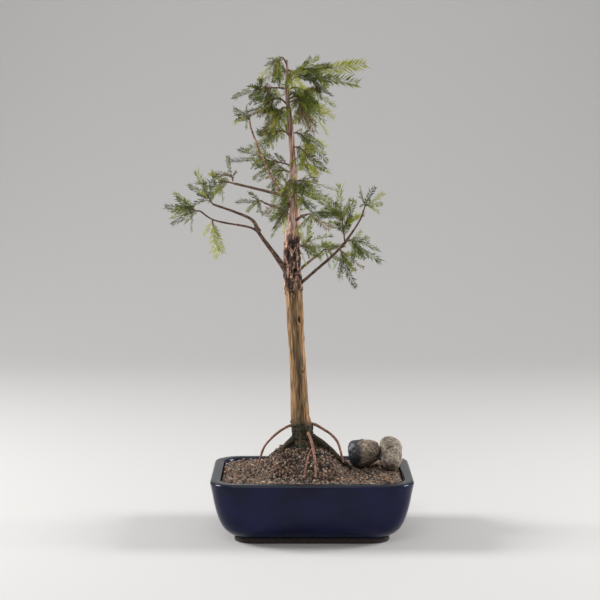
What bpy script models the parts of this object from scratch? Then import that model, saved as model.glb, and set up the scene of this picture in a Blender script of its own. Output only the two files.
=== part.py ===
"""Bald cypress bonsai, grown as a formal upright in a glazed pot.

The sizes are in millimetres, in a frame with +Z up, the front of the pot towards -Y,
and its origin at the centre of the pot's flat underside. Meshes are built in metres.
"""
import math
import random
from collections import namedtuple

import bmesh
import bpy
from mathutils import Matrix, Vector
from mathutils.bvhtree import BVHTree

MM = 0.001
GAP = 0.3

# Pot: a rounded rectangle with sloping sides, a thick flat rim and a foot
POT_LENGTH = 203.0
POT_DEPTH = 152.0
POT_HEIGHT = 64.0
POT_CORNER = 26.0
CORNER_TIGHTENING = 0.3
CORNER_STEPS = 5
RIM_WIDTH = 10.0
RIM_ROUNDING = 2.6
FOOT_INSET = 23.5
FOOT_HEIGHT = 6.5
FLOOR_THICKNESS = 16.0
SOIL_LEVEL = 61.0

# The pot's outside from the table up and its well from the floor up, as pairs of inset and height
POT_OUTSIDE = (
    (FOOT_INSET + 0.8, 0.0),
    (FOOT_INSET, 0.8),
    (FOOT_INSET, FOOT_HEIGHT),
    (20.7, 7.2),
    (16.4, 10.6),
    (12.4, 15.4),
    (8.8, 23.0),
    (6.0, 32.0),
    (3.7, 42.0),
    (1.7, 53.0),
    (0.0, POT_HEIGHT - RIM_ROUNDING),
    (0.8, POT_HEIGHT - 0.8),
    (RIM_ROUNDING, POT_HEIGHT),
)
POT_RIM_INSIDE = ((RIM_WIDTH - 1.2, POT_HEIGHT), (RIM_WIDTH, POT_HEIGHT - 1.2))
WELL = ((28.0, FLOOR_THICKNESS), (20.0, 18.5), (15.0, 27.0), (12.0, 44.0), (10.6, SOIL_LEVEL))

# Soil: level at the pot's wall, mounded round the trunk's foot
MOUND_TOP = 88.0
MOUND_FLAT_RADIUS = 18.0
MOUND_RADIUS = 56.0
MOUND_CENTRE = (-9.0, 0.0)
SOIL_RING_SHARES = (0.16, 0.34, 0.52, 0.68, 0.82, 1.0)

# Trunk: its ground level, its tip and its flare of rounded ridges
TRUNK_SIDES = 12
TRUNK_GROUND = MOUND_TOP + GAP
TRUNK_TIP = 480.0
TRUNK_FOOT_RINGS = (TRUNK_GROUND, 91.0, 95.0, 101.0, 108.0, 114.0, 121.0)
TRUNK_RING_STEP = 13.0
FLARE_HEIGHT = 11.0
FLARE_RIDGES = ((-12, 5.6), (62, 3.0), (128, 3.4), (196, 4.6), (258, 3.6), (310, 3.0))
FLARE_RIDGE_WIDTH = 20.0

Station = namedtuple("Station", "height x y radius")
TRUNK_STATIONS = (
    Station(88.0, -9.0, 0.0, 12.0),
    Station(95.0, -9.0, 0.0, 10.0),
    Station(101.0, -9.2, 0.0, 9.0),
    Station(108.0, -9.8, 0.0, 10.0),
    Station(114.0, -11.0, 0.0, 9.8),
    Station(120.0, -12.0, 0.2, 8.9),
    Station(137.0, -12.5, 0.4, 8.6),
    Station(178.0, -14.5, 1.0, 7.6),
    Station(200.0, -16.1, 1.0, 7.7),
    Station(219.0, -16.8, 0.6, 8.4),
    Station(240.0, -17.6, 0.0, 8.0),
    Station(269.0, -20.0, -0.6, 7.8),
    Station(290.0, -20.6, -1.0, 7.3),
    Station(306.0, -19.4, -1.0, 6.4),
    Station(330.0, -17.6, -0.6, 5.0),
    Station(350.0, -18.4, 0.0, 4.3),
    Station(380.0, -19.2, 0.4, 3.1),
    Station(410.0, -21.2, 0.4, 2.7),
    Station(430.0, -23.4, 0.0, 2.3),
    Station(450.0, -25.2, 0.0, 2.0),
    Station(470.0, -24.6, 0.0, 1.5),
    Station(480.0, -25.0, 0.0, 0.8),
)

# Limbs: the path of the axis from its foot to its tip, and the radius at each end
LIMB_SIDES = 6
TRIM_STEP = 0.05
SHORTEST_STEP = 0.6
THICKEST_LIMB = 25.0
PROBE = Vector((0.36, 0.48, 0.8))
Limb = namedtuple("Limb", "path foot_radius tip_radius")
LIMBS = {
    "bough_left_rise": Limb(((-22, 0, 263), (-37, -6, 285), (-50, -12, 303), (-56, -15, 313)), 2.9, 1.6),
    "bough_left_reach": Limb(((-56, -15, 316), (-60, -16, 321), (-77, -18, 329), (-99, -22, 337)), 1.7, 1.1),
    "bough_left_low": Limb(
        ((-56, -15, 314), (-64, -16, 314), (-86, -18, 318), (-100, -20, 322), (-111, -22, 330)), 1.1, 0.9),
    "bough_left_upper": Limb(((-18, 0, 341), (-40, 8, 347), (-80, 22, 356)), 1.7, 1.3),
    "bough_left_upright": Limb(
        ((-19, -1, 330), (-36, -8, 355), (-49, -14, 382), (-60, -18, 410), (-62, -19, 420)), 1.5, 1.0),
    "bough_right": Limb(((-17, 0, 251), (18, -8, 282), (33, -12, 297)), 1.6, 1.2),
    "bough_right_upper": Limb(((33, -12, 297), (40, -14, 308), (48, -16, 321), (52, -18, 332)), 1.1, 0.8),
    "bough_back_right": Limb(((-19, 0, 262), (-8, 16, 272), (10, 40, 284)), 1.7, 1.0),
    "bough_front_right": Limb(((-18, 0, 318), (-11, -14, 324), (-5, -28, 327)), 1.5, 1.0),
    "bough_back_left": Limb(((-19, 0, 322), (-33, 22, 330), (-49, 45, 335)), 1.6, 1.0),
    "bough_back": Limb(((-19, 0, 296), (-18, 24, 306), (-20, 46, 317)), 1.7, 1.0),
}

# Roots that show above the grit: thin ones that arch down from the collar, and a thick one lying on the mound
ROOTS = {
    "root_left": Limb(
        ((-12, 0, 112), (-20, -2, 111), (-31, -4, 106), (-41, -6, 98), (-49, -8, 88), (-54, -10, 75)), 1.3, 1.0),
    "root_right": Limb(
        ((-6, 0, 112), (2, -3, 112), (12, -5, 107), (20, -8, 102), (27, -11, 93), (31, -13, 82)), 1.4, 1.1),
    "root_front": Limb(
        ((-5, -4, 106), (-3, -14, 103), (0, -22, 96), (2, -32, 87), (4, -46, 72)), 1.5, 1.1),
}
RIDGE_ROOTS = {
    "root_ridge_right": Limb(((10, -4, 0), (19, -6, 0), (28, -7, 0), (35, -8, 0), (41, -9, 0)), 4.6, 0.9),
    "root_ridge_left": Limb(((-26, -8, 0), (-31, -11, 0), (-36, -14, 0), (-41, -18, 0)), 3.6, 0.9),
}
RIDGE_SIDES = 8
RAISE_STEP = 0.1

# Stones on the grit, at the right towards the back
Stone = namedtuple("Stone", "centre size lumps seed")
STONES = {
    "stone_dark": Stone((53.5, 22, 76), (37, 36, 33), 0.10, 3),
    "stone_pale": Stone((80, 17, 76), (29, 56, 38), 0.12, 8),
}
STONE_GAP = 2.5
STONE_SIDES = 14
STONE_RINGS = 8
STONE_LOWEST_TILT = -60
STONE_HIGHEST_TILT = 82
STONE_LUMPS = 16
STONE_CUTS = 9
STONE_CUT_DEPTHS = (0.72, 0.94)

# Foliage: each mass grows from one stem that leaves a limb and reaches as far as its end spray
STEM_FOOT_RADIUS = 0.9
STEM_TIP_RADIUS = 0.55
TWIG_RADIUS = 0.6
TWIG_SIDES = 4
STEM_STEPS = 4
TIP_SPRAY_SHARE = 0.94
SHORTEST_STEM_SHARE = 0.12
TWIG_ZONE = (0.35, 0.75)
TWIG_SHARE = 0.42
SPRAY_WIDTH_SHARE = 0.42
TOOTH_PITCH = 6.4
SPRAY_THICKNESS_SHARE = 0.022
LEAF_CLEARANCE = 0.6
SPACE_MARGIN_SHARE = 0.25
SPRAY_TRIES = 4

Mass = namedtuple("Mass", "start reach arch spray twigs spread face hang seed")
MASSES = {
    "foliage_top_right": Mass((-24, 0, 462), (74, -4, 14), 6, 46, 0, 9, 85, 0.0, 11),
    "foliage_top_right_low": Mass((-24, 0, 457), (66, 8, 6), 6, 40, 0, 9, 75, 0.0, 12),
    "foliage_top_left": Mass((-25, 0, 474), (-32, 2, -16), 11, 24, 1, 40, 60, 0.5, 13),
    "foliage_top_twig": Mass((-25, 0, 451), (-53, -6, -3), 2, 20, 2, 45, 45, 0.3, 14),
    "foliage_top_front": Mass((-25, 0, 468), (12, -34, -14), 4, 24, 1, 45, 30, 0.4, 15),
    "foliage_top_back": Mass((-25, 0, 466), (-8, 38, 0), 4, 24, 1, 45, 20, 0.2, 16),
    "foliage_upper_right": Mass((-24, 0, 450), (46, -6, -18), 6, 28, 2, 40, 60, 0.4, 21),
    "foliage_upper_right_low": Mass((-23, 0, 441), (44, 5, -23), 7, 28, 1, 40, 60, 0.5, 22),
    "foliage_upper_right_front": Mass((-23, 0, 437), (28, -38, -15), 5, 28, 1, 45, 40, 0.5, 23),
    "foliage_upper_right_back": Mass((-23, 0, 444), (28, 40, -8), 5, 28, 1, 45, 30, 0.3, 24),
    "foliage_upper_left": Mass((-24, 0, 434), (-48, -4, -4), 9, 26, 2, 40, 55, 0.5, 25),
    "foliage_upper_left_front": Mass((-23, 0, 430), (-26, -40, -12), 5, 28, 1, 45, 40, 0.5, 26),
    "foliage_upper_left_back": Mass((-23, 0, 426), (-26, 42, -12), 5, 28, 1, 45, 40, 0.5, 27),
    "foliage_upright": Mass((-62, -19, 420), (-10, -8, 13), 2, 20, 2, 50, 60, 0.7, 29),
    "foliage_middle_left": Mass((-19, 0, 374), (-61, -6, 9), 2, 26, 2, 40, 35, 0.0, 31),
    "foliage_middle_left_high": Mass((-21, 0, 402), (-43, -14, -5), 9, 24, 2, 40, 60, 0.4, 32),
    "foliage_middle_left_back": Mass((-19, 0, 366), (-36, 36, -2), 4, 24, 1, 45, 30, 0.2, 33),
    "foliage_middle_left_front": Mass((-19, 0, 358), (-18, -36, -18), 6, 26, 1, 45, 40, 0.5, 34),
    "foliage_middle_left_hanging": Mass((-18, -1, 330), (-26, -16, -14), 8, 26, 1, 40, 60, 0.5, 35),
    "foliage_middle_right": Mass((-21, 0, 406), (38, 6, -20), 5, 24, 1, 40, 60, 0.3, 36),
    "foliage_middle_right_front": Mass((-20, 0, 392), (32, -24, -14), 4, 24, 1, 40, 50, 0.4, 37),
    "foliage_middle_right_back": Mass((-19, 0, 372), (36, 32, 0), 4, 24, 1, 40, 30, 0.2, 38),
    "foliage_middle_right_out": Mass((-18, 0, 346), (33, 5, -2), 9, 26, 1, 40, 60, 0.2, 39),
    "foliage_lower_right_front": Mass((-18, 0, 356), (26, -40, -4), 5, 26, 1, 45, 20, 0.3, 40),
    "foliage_middle_back": Mass((-18, 0, 338), (-4, 54, 2), 6, 28, 2, 45, 20, 0.3, 41),
    "foliage_left_upper": Mass((-80, 22, 356), (-36, 4, 2), 1, 22, 1, 40, 50, 0.0, 51),
    "foliage_left_dry": Mass((-80, 22, 358), (-7, -2, 24), 0, 18, 0, 40, 80, 0.0, 52),
    "foliage_left_reach": Mass((-99, -22, 337), (-15, -4, 30), 0, 24, 1, 40, 80, -0.4, 53),
    "foliage_left_low": Mass((-111, -22, 330), (-32, -2, 4), 0, 24, 2, 35, 70, 0.0, 54),
    "foliage_left_drooping": Mass((-99, -20, 321), (2, -3, -34), 0, 30, 0, 18, 60, 0.0, 55),
    "foliage_back_left": Mass((-49, 45, 335), (-26, -2, 4), 2, 20, 1, 45, 40, 0.2, 56),
    "foliage_back": Mass((-20, 46, 317), (-8, 34, 8), 2, 26, 2, 45, 20, 0.3, 57),
    "foliage_front_right": Mass((-5, -28, 327), (20, -28, -10), 2, 26, 1, 40, 40, 0.2, 58),
    "foliage_back_right": Mass((10, 40, 284), (26, 16, 9), 2, 26, 2, 45, 30, 0.2, 59),
    "foliage_right_inner": Mass((-20, 0, 290), (42, 14, 5), 2, 26, 1, 40, 50, 0.2, 60),
    "foliage_right_rise": Mass((33, -12, 298), (-7, -5, 58), 0, 28, 2, 35, 75, -0.1, 61),
    "foliage_right_upper": Mass((52, -18, 332), (6, -4, 22), 0, 20, 2, 50, 70, -0.2, 66),
    "foliage_right_out": Mass((33, -12, 297), (34, -2, -12), 5, 26, 1, 35, 60, 0.2, 63),
    "foliage_right_down": Mass((25, -10, 289), (18, 2, -33), 8, 24, 1, 35, 60, 0.3, 64),
}


def unit(vector):
    """The vector's direction, as a new unit vector."""
    return Vector(vector).normalized()


def rounded_rectangle(inset, height):
    """A level ring of points, the pot's outline moved in by a distance."""
    corner = POT_CORNER - CORNER_TIGHTENING * inset
    half_x = POT_LENGTH / 2 - inset - corner
    half_y = POT_DEPTH / 2 - inset - corner
    ring = []
    for quarter, (side_x, side_y) in enumerate(((1, 1), (-1, 1), (-1, -1), (1, -1))):
        for step in range(CORNER_STEPS + 1):
            angle = math.pi / 2 * (quarter + step / CORNER_STEPS)
            ring.append(Vector((
                side_x * half_x + corner * math.cos(angle),
                side_y * half_y + corner * math.sin(angle),
                height,
            )))
    return ring


def loft(rings):
    """A closed shape through rings of equally many points, each end closed by a flat cap."""
    count = len(rings[0])
    points = [point for ring in rings for point in ring]
    faces = [tuple(reversed(range(count)))]
    for level in range(len(rings) - 1):
        for index in range(count):
            after = (index + 1) % count
            low = level * count
            high = low + count
            faces.append((low + index, low + after, high + after, high + index))
    faces.append(tuple(range(len(points) - count, len(points))))
    return points, faces


def ring_frames(path):
    """Two side directions at each point of a path, carried along it without twist."""
    tangents = []
    for index in range(len(path)):
        before = path[max(index - 1, 0)]
        after = path[min(index + 1, len(path) - 1)]
        tangents.append(unit(after - before))
    side = unit(tangents[0].orthogonal())
    frames = []
    for tangent in tangents:
        side = unit(side - tangent * side.dot(tangent))
        frames.append((side, tangent.cross(side)))
    return frames


def tube(path, radii, sides):
    """A tapering limb round a path, with flat ends."""
    rings = []
    for centre, radius, (side, up) in zip(path, radii, ring_frames(path)):
        rings.append([
            centre + (side * math.cos(turn) + up * math.sin(turn)) * radius
            for turn in (math.tau * index / sides for index in range(sides))
        ])
    return loft(rings)


def taper(count, foot_radius, tip_radius):
    """Radii that shrink evenly from a limb's foot to its tip."""
    return [foot_radius + (tip_radius - foot_radius) * index / (count - 1) for index in range(count)]


def tree_of(shape):
    """A search tree over a shape's faces."""
    return BVHTree.FromPolygons(*shape)


def is_inside(point, tree):
    """True inside a closed shape: a ray from the point leaves it an odd number of times."""
    crossings = 0
    hit = tree.ray_cast(point, PROBE)[0]
    while hit:
        crossings += 1
        hit = tree.ray_cast(hit + PROBE * 1e-4, PROBE)[0]
    return crossings % 2 == 1


def clearance(point, tree):
    """How far a point is outside a shape; negative inside it."""
    distance = tree.find_nearest(point)[3]
    if distance < THICKEST_LIMB and is_inside(point, tree):
        return -distance
    return distance


def is_clear(shape, trees, margin):
    """True where a shape neither crosses nor comes near any of the others."""
    own = tree_of(shape)
    for tree in trees:
        if own.overlap(tree):
            return False
        if any(clearance(point, tree) < margin for point in shape[0]):
            return False
    return True


def ring_points(centre, direction, radius):
    """A centre and a circle of points round it, square to a direction."""
    side = unit(direction.orthogonal())
    other = direction.cross(side)
    turns = [math.tau * index / 12 for index in range(12)]
    return [centre] + [centre + (side * math.cos(turn) + other * math.sin(turn)) * radius for turn in turns]


def trimmed(path, radius, trees):
    """The path with its start moved along it until a ring there stands clear of the other limbs."""
    points = [Vector(point) for point in path]
    for index in range(len(points) - 1):
        along = points[index + 1] - points[index]
        direction = along.normalized()
        for step in range(int(along.length / TRIM_STEP)):
            centre = points[index] + direction * (step * TRIM_STEP)
            ring = ring_points(centre, direction, radius)
            if all(clearance(point, tree) >= GAP for point in ring for tree in trees):
                onward = [point for point in points[index + 1:] if (point - centre).length > SHORTEST_STEP]
                return [centre] + (onward or points[-1:])
    raise ValueError("a limb never leaves the one it grows from")


def material(name, colour, roughness):
    """A plain Principled material."""
    made = bpy.data.materials.new(name)
    made.use_nodes = True
    shader = made.node_tree.nodes["Principled BSDF"]
    shader.inputs["Base Color"].default_value = (*colour, 1.0)
    shader.inputs["Roughness"].default_value = roughness
    shader.inputs["Metallic"].default_value = 0.0
    return made


def make_object(name, shape, finish, collection):
    """An object in metres from a shape in millimetres."""
    points, faces = shape
    mesh = bpy.data.meshes.new(name)
    mesh.from_pydata([point * MM for point in points], [], faces)
    mesh.materials.append(finish)
    mesh.update()
    made = bpy.data.objects.new(name, mesh)
    collection.objects.link(made)
    return made


def keep_outer_shell(mesh):
    """Leaves only the largest closed shell, so loose scraps go and sealed hollows are filled."""
    work = bmesh.new()
    work.from_mesh(mesh)
    unseen = set(work.faces)
    shells = []
    while unseen:
        shell = {unseen.pop()}
        front = list(shell)
        while front:
            for edge in front.pop().edges:
                for face in edge.link_faces:
                    if face in unseen:
                        unseen.remove(face)
                        shell.add(face)
                        front.append(face)
        shells.append(shell)
    largest = max(shells, key=len)
    bmesh.ops.delete(work, geom=[face for face in work.faces if face not in largest], context="FACES")
    work.to_mesh(mesh)
    work.free()


def fuse(name, shapes, finish):
    """One solid from closed shapes that cross, by a single union on a collection."""
    scene = bpy.context.scene.collection
    fused = make_object(name, shapes[0], finish, scene)
    if len(shapes) == 1:
        return fused
    others = bpy.data.collections.new(name + "_others")
    scene.children.link(others)
    for shape in shapes[1:]:
        make_object(name + "_piece", shape, finish, others)
    union = fused.modifiers.new("union", "BOOLEAN")
    union.operation = "UNION"
    union.operand_type = "COLLECTION"
    union.collection = others
    union.solver = "MANIFOLD"
    evaluated = fused.evaluated_get(bpy.context.evaluated_depsgraph_get())
    mesh = bpy.data.meshes.new_from_object(evaluated)
    fused.modifiers.clear()
    fused.data = mesh
    for piece in list(others.objects):
        bpy.data.objects.remove(piece)
    bpy.data.collections.remove(others)
    keep_outer_shell(mesh)
    return fused


def pot_shape():
    """The pot: up the outside from the foot to the rim, and down the inside to the floor."""
    profile = POT_OUTSIDE + POT_RIM_INSIDE + tuple(reversed(WELL))
    return loft([rounded_rectangle(inset, height) for inset, height in profile])


def soil_height(x, y):
    """The height of the grit: level by the wall, rising to a mound round the trunk."""
    distance = math.hypot(x - MOUND_CENTRE[0], y - MOUND_CENTRE[1])
    share = (MOUND_RADIUS - distance) / (MOUND_RADIUS - MOUND_FLAT_RADIUS)
    share = min(max(share, 0.0), 1.0)
    return SOIL_LEVEL + (MOUND_TOP - SOIL_LEVEL) * share * share * (3 - 2 * share)


def soil_shape():
    """The grit that fills the well, with its mounded top."""
    rings = [rounded_rectangle(inset + 2 * GAP, height + GAP) for inset, height in WELL[:-1]]
    wall = rounded_rectangle(WELL[-1][0] + 2 * GAP, SOIL_LEVEL)
    rings.append(wall)
    centre = Vector((*MOUND_CENTRE, 0.0))
    for share in SOIL_RING_SHARES:
        ring = []
        for point in wall:
            outward = point - centre
            outward.z = 0.0
            target = centre + outward.normalized() * MOUND_FLAT_RADIUS
            x = point.x + (target.x - point.x) * share
            y = point.y + (target.y - point.y) * share
            ring.append(Vector((x, y, soil_height(x, y))))
        rings.append(ring)
    return loft(rings)


def trunk_station(height):
    """The trunk's axis and radius at a height, eased between the measured stations."""
    for low, high in zip(TRUNK_STATIONS, TRUNK_STATIONS[1:]):
        if height <= high.height:
            break
    share = (height - low.height) / (high.height - low.height)
    mixed = [a + (b - a) * share for a, b in zip(low, high)]
    return Station(*mixed)


def trunk_shape():
    """The trunk from a flat cut at the soil to its tip, with a flare of rounded ridges."""
    start = TRUNK_FOOT_RINGS[-1]
    steps = round((TRUNK_TIP - start) / TRUNK_RING_STEP)
    heights = list(TRUNK_FOOT_RINGS)
    heights += [start + (TRUNK_TIP - start) * step / steps for step in range(1, steps + 1)]
    rings = []
    for height in heights:
        station = trunk_station(height)
        flare = math.exp(-(height - TRUNK_GROUND) / FLARE_HEIGHT)
        ring = []
        for index in range(TRUNK_SIDES):
            degrees = 360.0 * index / TRUNK_SIDES
            radius = station.radius
            for direction, size in FLARE_RIDGES:
                apart = (degrees - direction + 180.0) % 360.0 - 180.0
                radius += size * flare * math.exp(-(apart / FLARE_RIDGE_WIDTH) ** 2)
            turn = math.radians(degrees)
            ring.append(Vector((
                station.x + radius * math.cos(turn),
                station.y + radius * math.sin(turn),
                height,
            )))
        rings.append(ring)
    return loft(rings)


def limb_shape(limb, trees, sides=LIMB_SIDES):
    """A limb that starts just clear of the one it grows from."""
    path = trimmed(limb.path, limb.foot_radius, trees)
    return tube(path, taper(len(path), limb.foot_radius, limb.tip_radius), sides)


def ridge_root_shape(limb, soil):
    """A thick root lying along the mound, raised until it just clears the grit."""
    path = []
    radii = taper(len(limb.path), limb.foot_radius, limb.tip_radius)
    for (x, y, _), radius in zip(limb.path, radii):
        path.append(Vector((x, y, soil_height(x, y) + radius)))
    shape = tube(path, radii, RIDGE_SIDES)
    while not is_clear(shape, [soil], GAP):
        path = [point + Vector((0, 0, RAISE_STEP)) for point in path]
        shape = tube(path, radii, RIDGE_SIDES)
    return shape


def random_direction(rng):
    """A direction with no favourite side."""
    return unit([rng.gauss(0, 1) for _ in range(3)])


def stone_shape(stone, trees, neighbours):
    """A lumpy stone with broken faces, flat underneath, and hollowed where it meets a neighbour."""
    rng = random.Random(stone.seed)
    size = Vector(stone.size)
    centre = Vector(stone.centre)
    lumps = [(random_direction(rng), rng.uniform(-1, 1)) for _ in range(STONE_LUMPS)]
    cuts = [(random_direction(rng), rng.uniform(*STONE_CUT_DEPTHS)) for _ in range(STONE_CUTS)]
    rings = []
    for level in range(STONE_RINGS):
        rise = level / (STONE_RINGS - 1)
        tilt = math.radians(STONE_LOWEST_TILT + (STONE_HIGHEST_TILT - STONE_LOWEST_TILT) * rise)
        ring = []
        for index in range(STONE_SIDES):
            turn = math.tau * index / STONE_SIDES
            way = Vector((math.cos(tilt) * math.cos(turn), math.cos(tilt) * math.sin(turn), math.sin(tilt)))
            bulge = sum(weight * max(way.dot(axis), 0.0) ** 6 for axis, weight in lumps)
            radius = min([1.0] + [depth / way.dot(axis) for axis, depth in cuts if way.dot(axis) > depth])
            radius += stone.lumps * bulge
            ring.append(centre + Vector((way.x * size.x, way.y * size.y, way.z * size.z)) * radius / 2)
        rings.append(ring)
    points, faces = loft(rings)
    lift = max(-clearance_below(point, trees) for point in points) + GAP
    points = [point + Vector((0, 0, lift)) for point in points]
    for other, tree in neighbours:
        points = [moved_clear(point, Vector(other.centre), tree) for point in points]
    return points, faces


def moved_clear(point, centre, tree):
    """The point, moved level away from a neighbouring stone until it stands clear of it."""
    away = unit((point.x - centre.x, point.y - centre.y, 0.0))
    while clearance(point, tree) < STONE_GAP:
        point = point + away * RAISE_STEP
    return point


def clearance_below(point, trees):
    """The height of a point over the first surface below a spot high above it."""
    top = Vector((point.x, point.y, 2 * MOUND_TOP))
    hits = [tree.ray_cast(top, Vector((0, 0, -1)))[0] for tree in trees]
    return min((point.z - hit.z for hit in hits if hit), default=MOUND_TOP)


def spray_shape(base, along, normal, length, bend):
    """A flat feather of foliage: a ridged blade with forward-leaning teeth, bending down towards its tip."""
    across = normal.cross(along)
    half_width = length * SPRAY_WIDTH_SHARE / 2
    half_thickness = length * SPRAY_THICKNESS_SHARE / 2
    teeth = max(round(length / TOOTH_PITCH), 3)

    def spot(share, side, lift):
        fall = Vector((0, 0, -bend * length * share * share))
        return base + along * (length * share) + across * side + normal * lift + fall

    points = []
    for index in range(teeth):
        share = index / teeth
        thickness = half_thickness * (1 - 0.5 * share)
        valley = 0.35 + 0.28 * half_width * math.sin(math.pi * share)
        points.append(spot(share, 0.0, thickness))
        points.append(spot(share, 0.0, -thickness))
        points.append(spot(share, valley, 0.0))
        points.append(spot(share, -valley, 0.0))
    for index in range(teeth - 1):
        share = (index + 1.05) / teeth
        width = half_width * math.sin(math.pi * (0.12 + 0.76 * share)) ** 0.7
        points.append(spot(share, width, 0.0))
        points.append(spot(share, -width, 0.0))
    end = len(points)
    points.append(spot(1.0, 0.0, 0.0))

    faces = [(0, 2, 1), (0, 1, 3)]
    for index in range(teeth - 1):
        top, under, right, left = range(4 * index, 4 * index + 4)
        next_top, next_under, next_right, next_left = range(4 * index + 4, 4 * index + 8)
        right_tip = 4 * teeth + 2 * index
        left_tip = right_tip + 1
        faces += [
            (top, next_top, right_tip),
            (top, right_tip, right),
            (next_top, next_right, right_tip),
            (under, right_tip, next_under),
            (under, right, right_tip),
            (next_under, right_tip, next_right),
            (top, left_tip, next_top),
            (top, left, left_tip),
            (next_top, left_tip, next_left),
            (under, next_under, left_tip),
            (under, left_tip, left),
            (next_under, next_left, left_tip),
        ]
    top, under, right, left = range(4 * teeth - 4, 4 * teeth)
    faces += [(top, end, right), (top, left, end), (under, right, end), (under, end, left)]
    return points, faces


def side_direction(tangent, face, side, degrees):
    """A direction that leaves a twig at an angle, to one side in the plane of the flat foliage."""
    level = unit(tangent.cross(Vector((0, 0, 1))) + Vector((0, 1e-3, 0)))
    across = Matrix.Rotation(math.radians(face), 3, tangent) @ level
    angle = math.radians(degrees)
    return unit(tangent * math.cos(angle) + across * side * math.sin(angle))


def spray_at(seat, face, hang, rng):
    """A spray on its seat: where it starts, its direction, its flat side, its length and its bend."""
    base, along, length = seat
    along = unit(along - Vector((0, 0, hang * rng.uniform(0.3, 1.0))))
    level = unit(along.cross(Vector((0, 0, 1))) + Vector((0, 1e-3, 0)))
    turn = math.radians(face + rng.gauss(0, 16))
    normal = Matrix.Rotation(turn, 3, along) @ level.cross(along)
    return base, along, unit(normal), length, 0.12 * rng.uniform(0.2, 1.0)


def stem_point(mass, share):
    """A point on the arched stem of a mass, which leaves room for the spray at its tip."""
    reach = Vector(mass.reach)
    stem_share = max(1 - mass.spray * TIP_SPRAY_SHARE / reach.length, SHORTEST_STEM_SHARE)
    lift = 4 * mass.arch * share * (1 - share)
    return Vector(mass.start) + reach * stem_share * share + Vector((0, 0, lift))


def stem_shape(mass, trees):
    """The stem of a mass, from just clear of the limb that bears it."""
    arch = [stem_point(mass, step / STEM_STEPS) for step in range(STEM_STEPS + 1)]
    path = trimmed(arch, STEM_FOOT_RADIUS, trees)
    return tube(path, taper(len(path), STEM_FOOT_RADIUS, STEM_TIP_RADIUS), TWIG_SIDES)


def grow(mass, rng):
    """The side twigs of a mass and the seats of its sprays, by the crown's one rule of growth."""
    reach = Vector(mass.reach)

    def angle():
        return mass.spread * rng.uniform(0.8, 1.25)

    tip = stem_point(mass, 1.0)
    tip_way = unit(Vector(mass.start) + reach - tip)
    twigs = []
    side = rng.choice((-1, 1))
    lower = stem_point(mass, rng.uniform(0.62, 0.82))
    seats = [
        (tip, tip_way, mass.spray),
        (lower, side_direction(tip_way, mass.face, side, angle()), mass.spray * rng.uniform(0.7, 0.9)),
    ]
    for index in range(mass.twigs):
        side = -side
        share = TWIG_ZONE[0] + (TWIG_ZONE[1] - TWIG_ZONE[0]) * (index + rng.uniform(0.2, 0.8)) / mass.twigs
        base = stem_point(mass, share)
        tangent = unit(stem_point(mass, share + 0.05) - base)
        way = side_direction(tangent, mass.face + rng.gauss(0, 25), side, angle())
        length = reach.length * TWIG_SHARE * rng.uniform(0.35, 0.6)
        end = base + way * length - Vector((0, 0, mass.hang * 0.3 * length))
        middle = base.lerp(end, 0.5) + Vector((0, 0, 0.06 * length))
        twigs.append((base, middle, end))
        onward = unit(end - base)
        turned = side_direction(onward, mass.face, rng.choice((-1, 1)), angle())
        seats.append((end, onward, mass.spray * rng.uniform(0.75, 1.0)))
        seats.append((middle, turned, mass.spray * rng.uniform(0.6, 0.85)))
    return twigs, seats


def within(shape, mass):
    """True where a shape stays in the mass's own space, a ball round its reach."""
    reach = Vector(mass.reach)
    middle = Vector(mass.start) + reach / 2
    radius = reach.length / 2 + SPACE_MARGIN_SHARE * mass.spray
    return all((point - middle).length < radius for point in shape[0])


def mass_shapes(mass, stem, trees):
    """The closed shapes of a mass: its stem, and each twig and spray that finds room among the others."""
    rng = random.Random(mass.seed)
    twigs, seats = grow(mass, rng)
    shapes = [stem]

    def has_room(shape):
        return within(shape, mass) and is_clear(shape, trees, LEAF_CLEARANCE)

    for twig in twigs:
        shape = tube(twig, [TWIG_RADIUS] * len(twig), TWIG_SIDES)
        if has_room(shape):
            shapes.append(shape)
    for seat in seats:
        tries = [spray_shape(*spray_at(seat, mass.face, mass.hang, rng)) for _ in range(SPRAY_TRIES)]
        fitting = [shape for shape in tries if has_room(shape)]
        shapes += fitting[:1]
    return shapes


def clear_scene():
    """Removes the objects of the default scene."""
    for item in list(bpy.data.objects):
        bpy.data.objects.remove(item)


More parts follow.
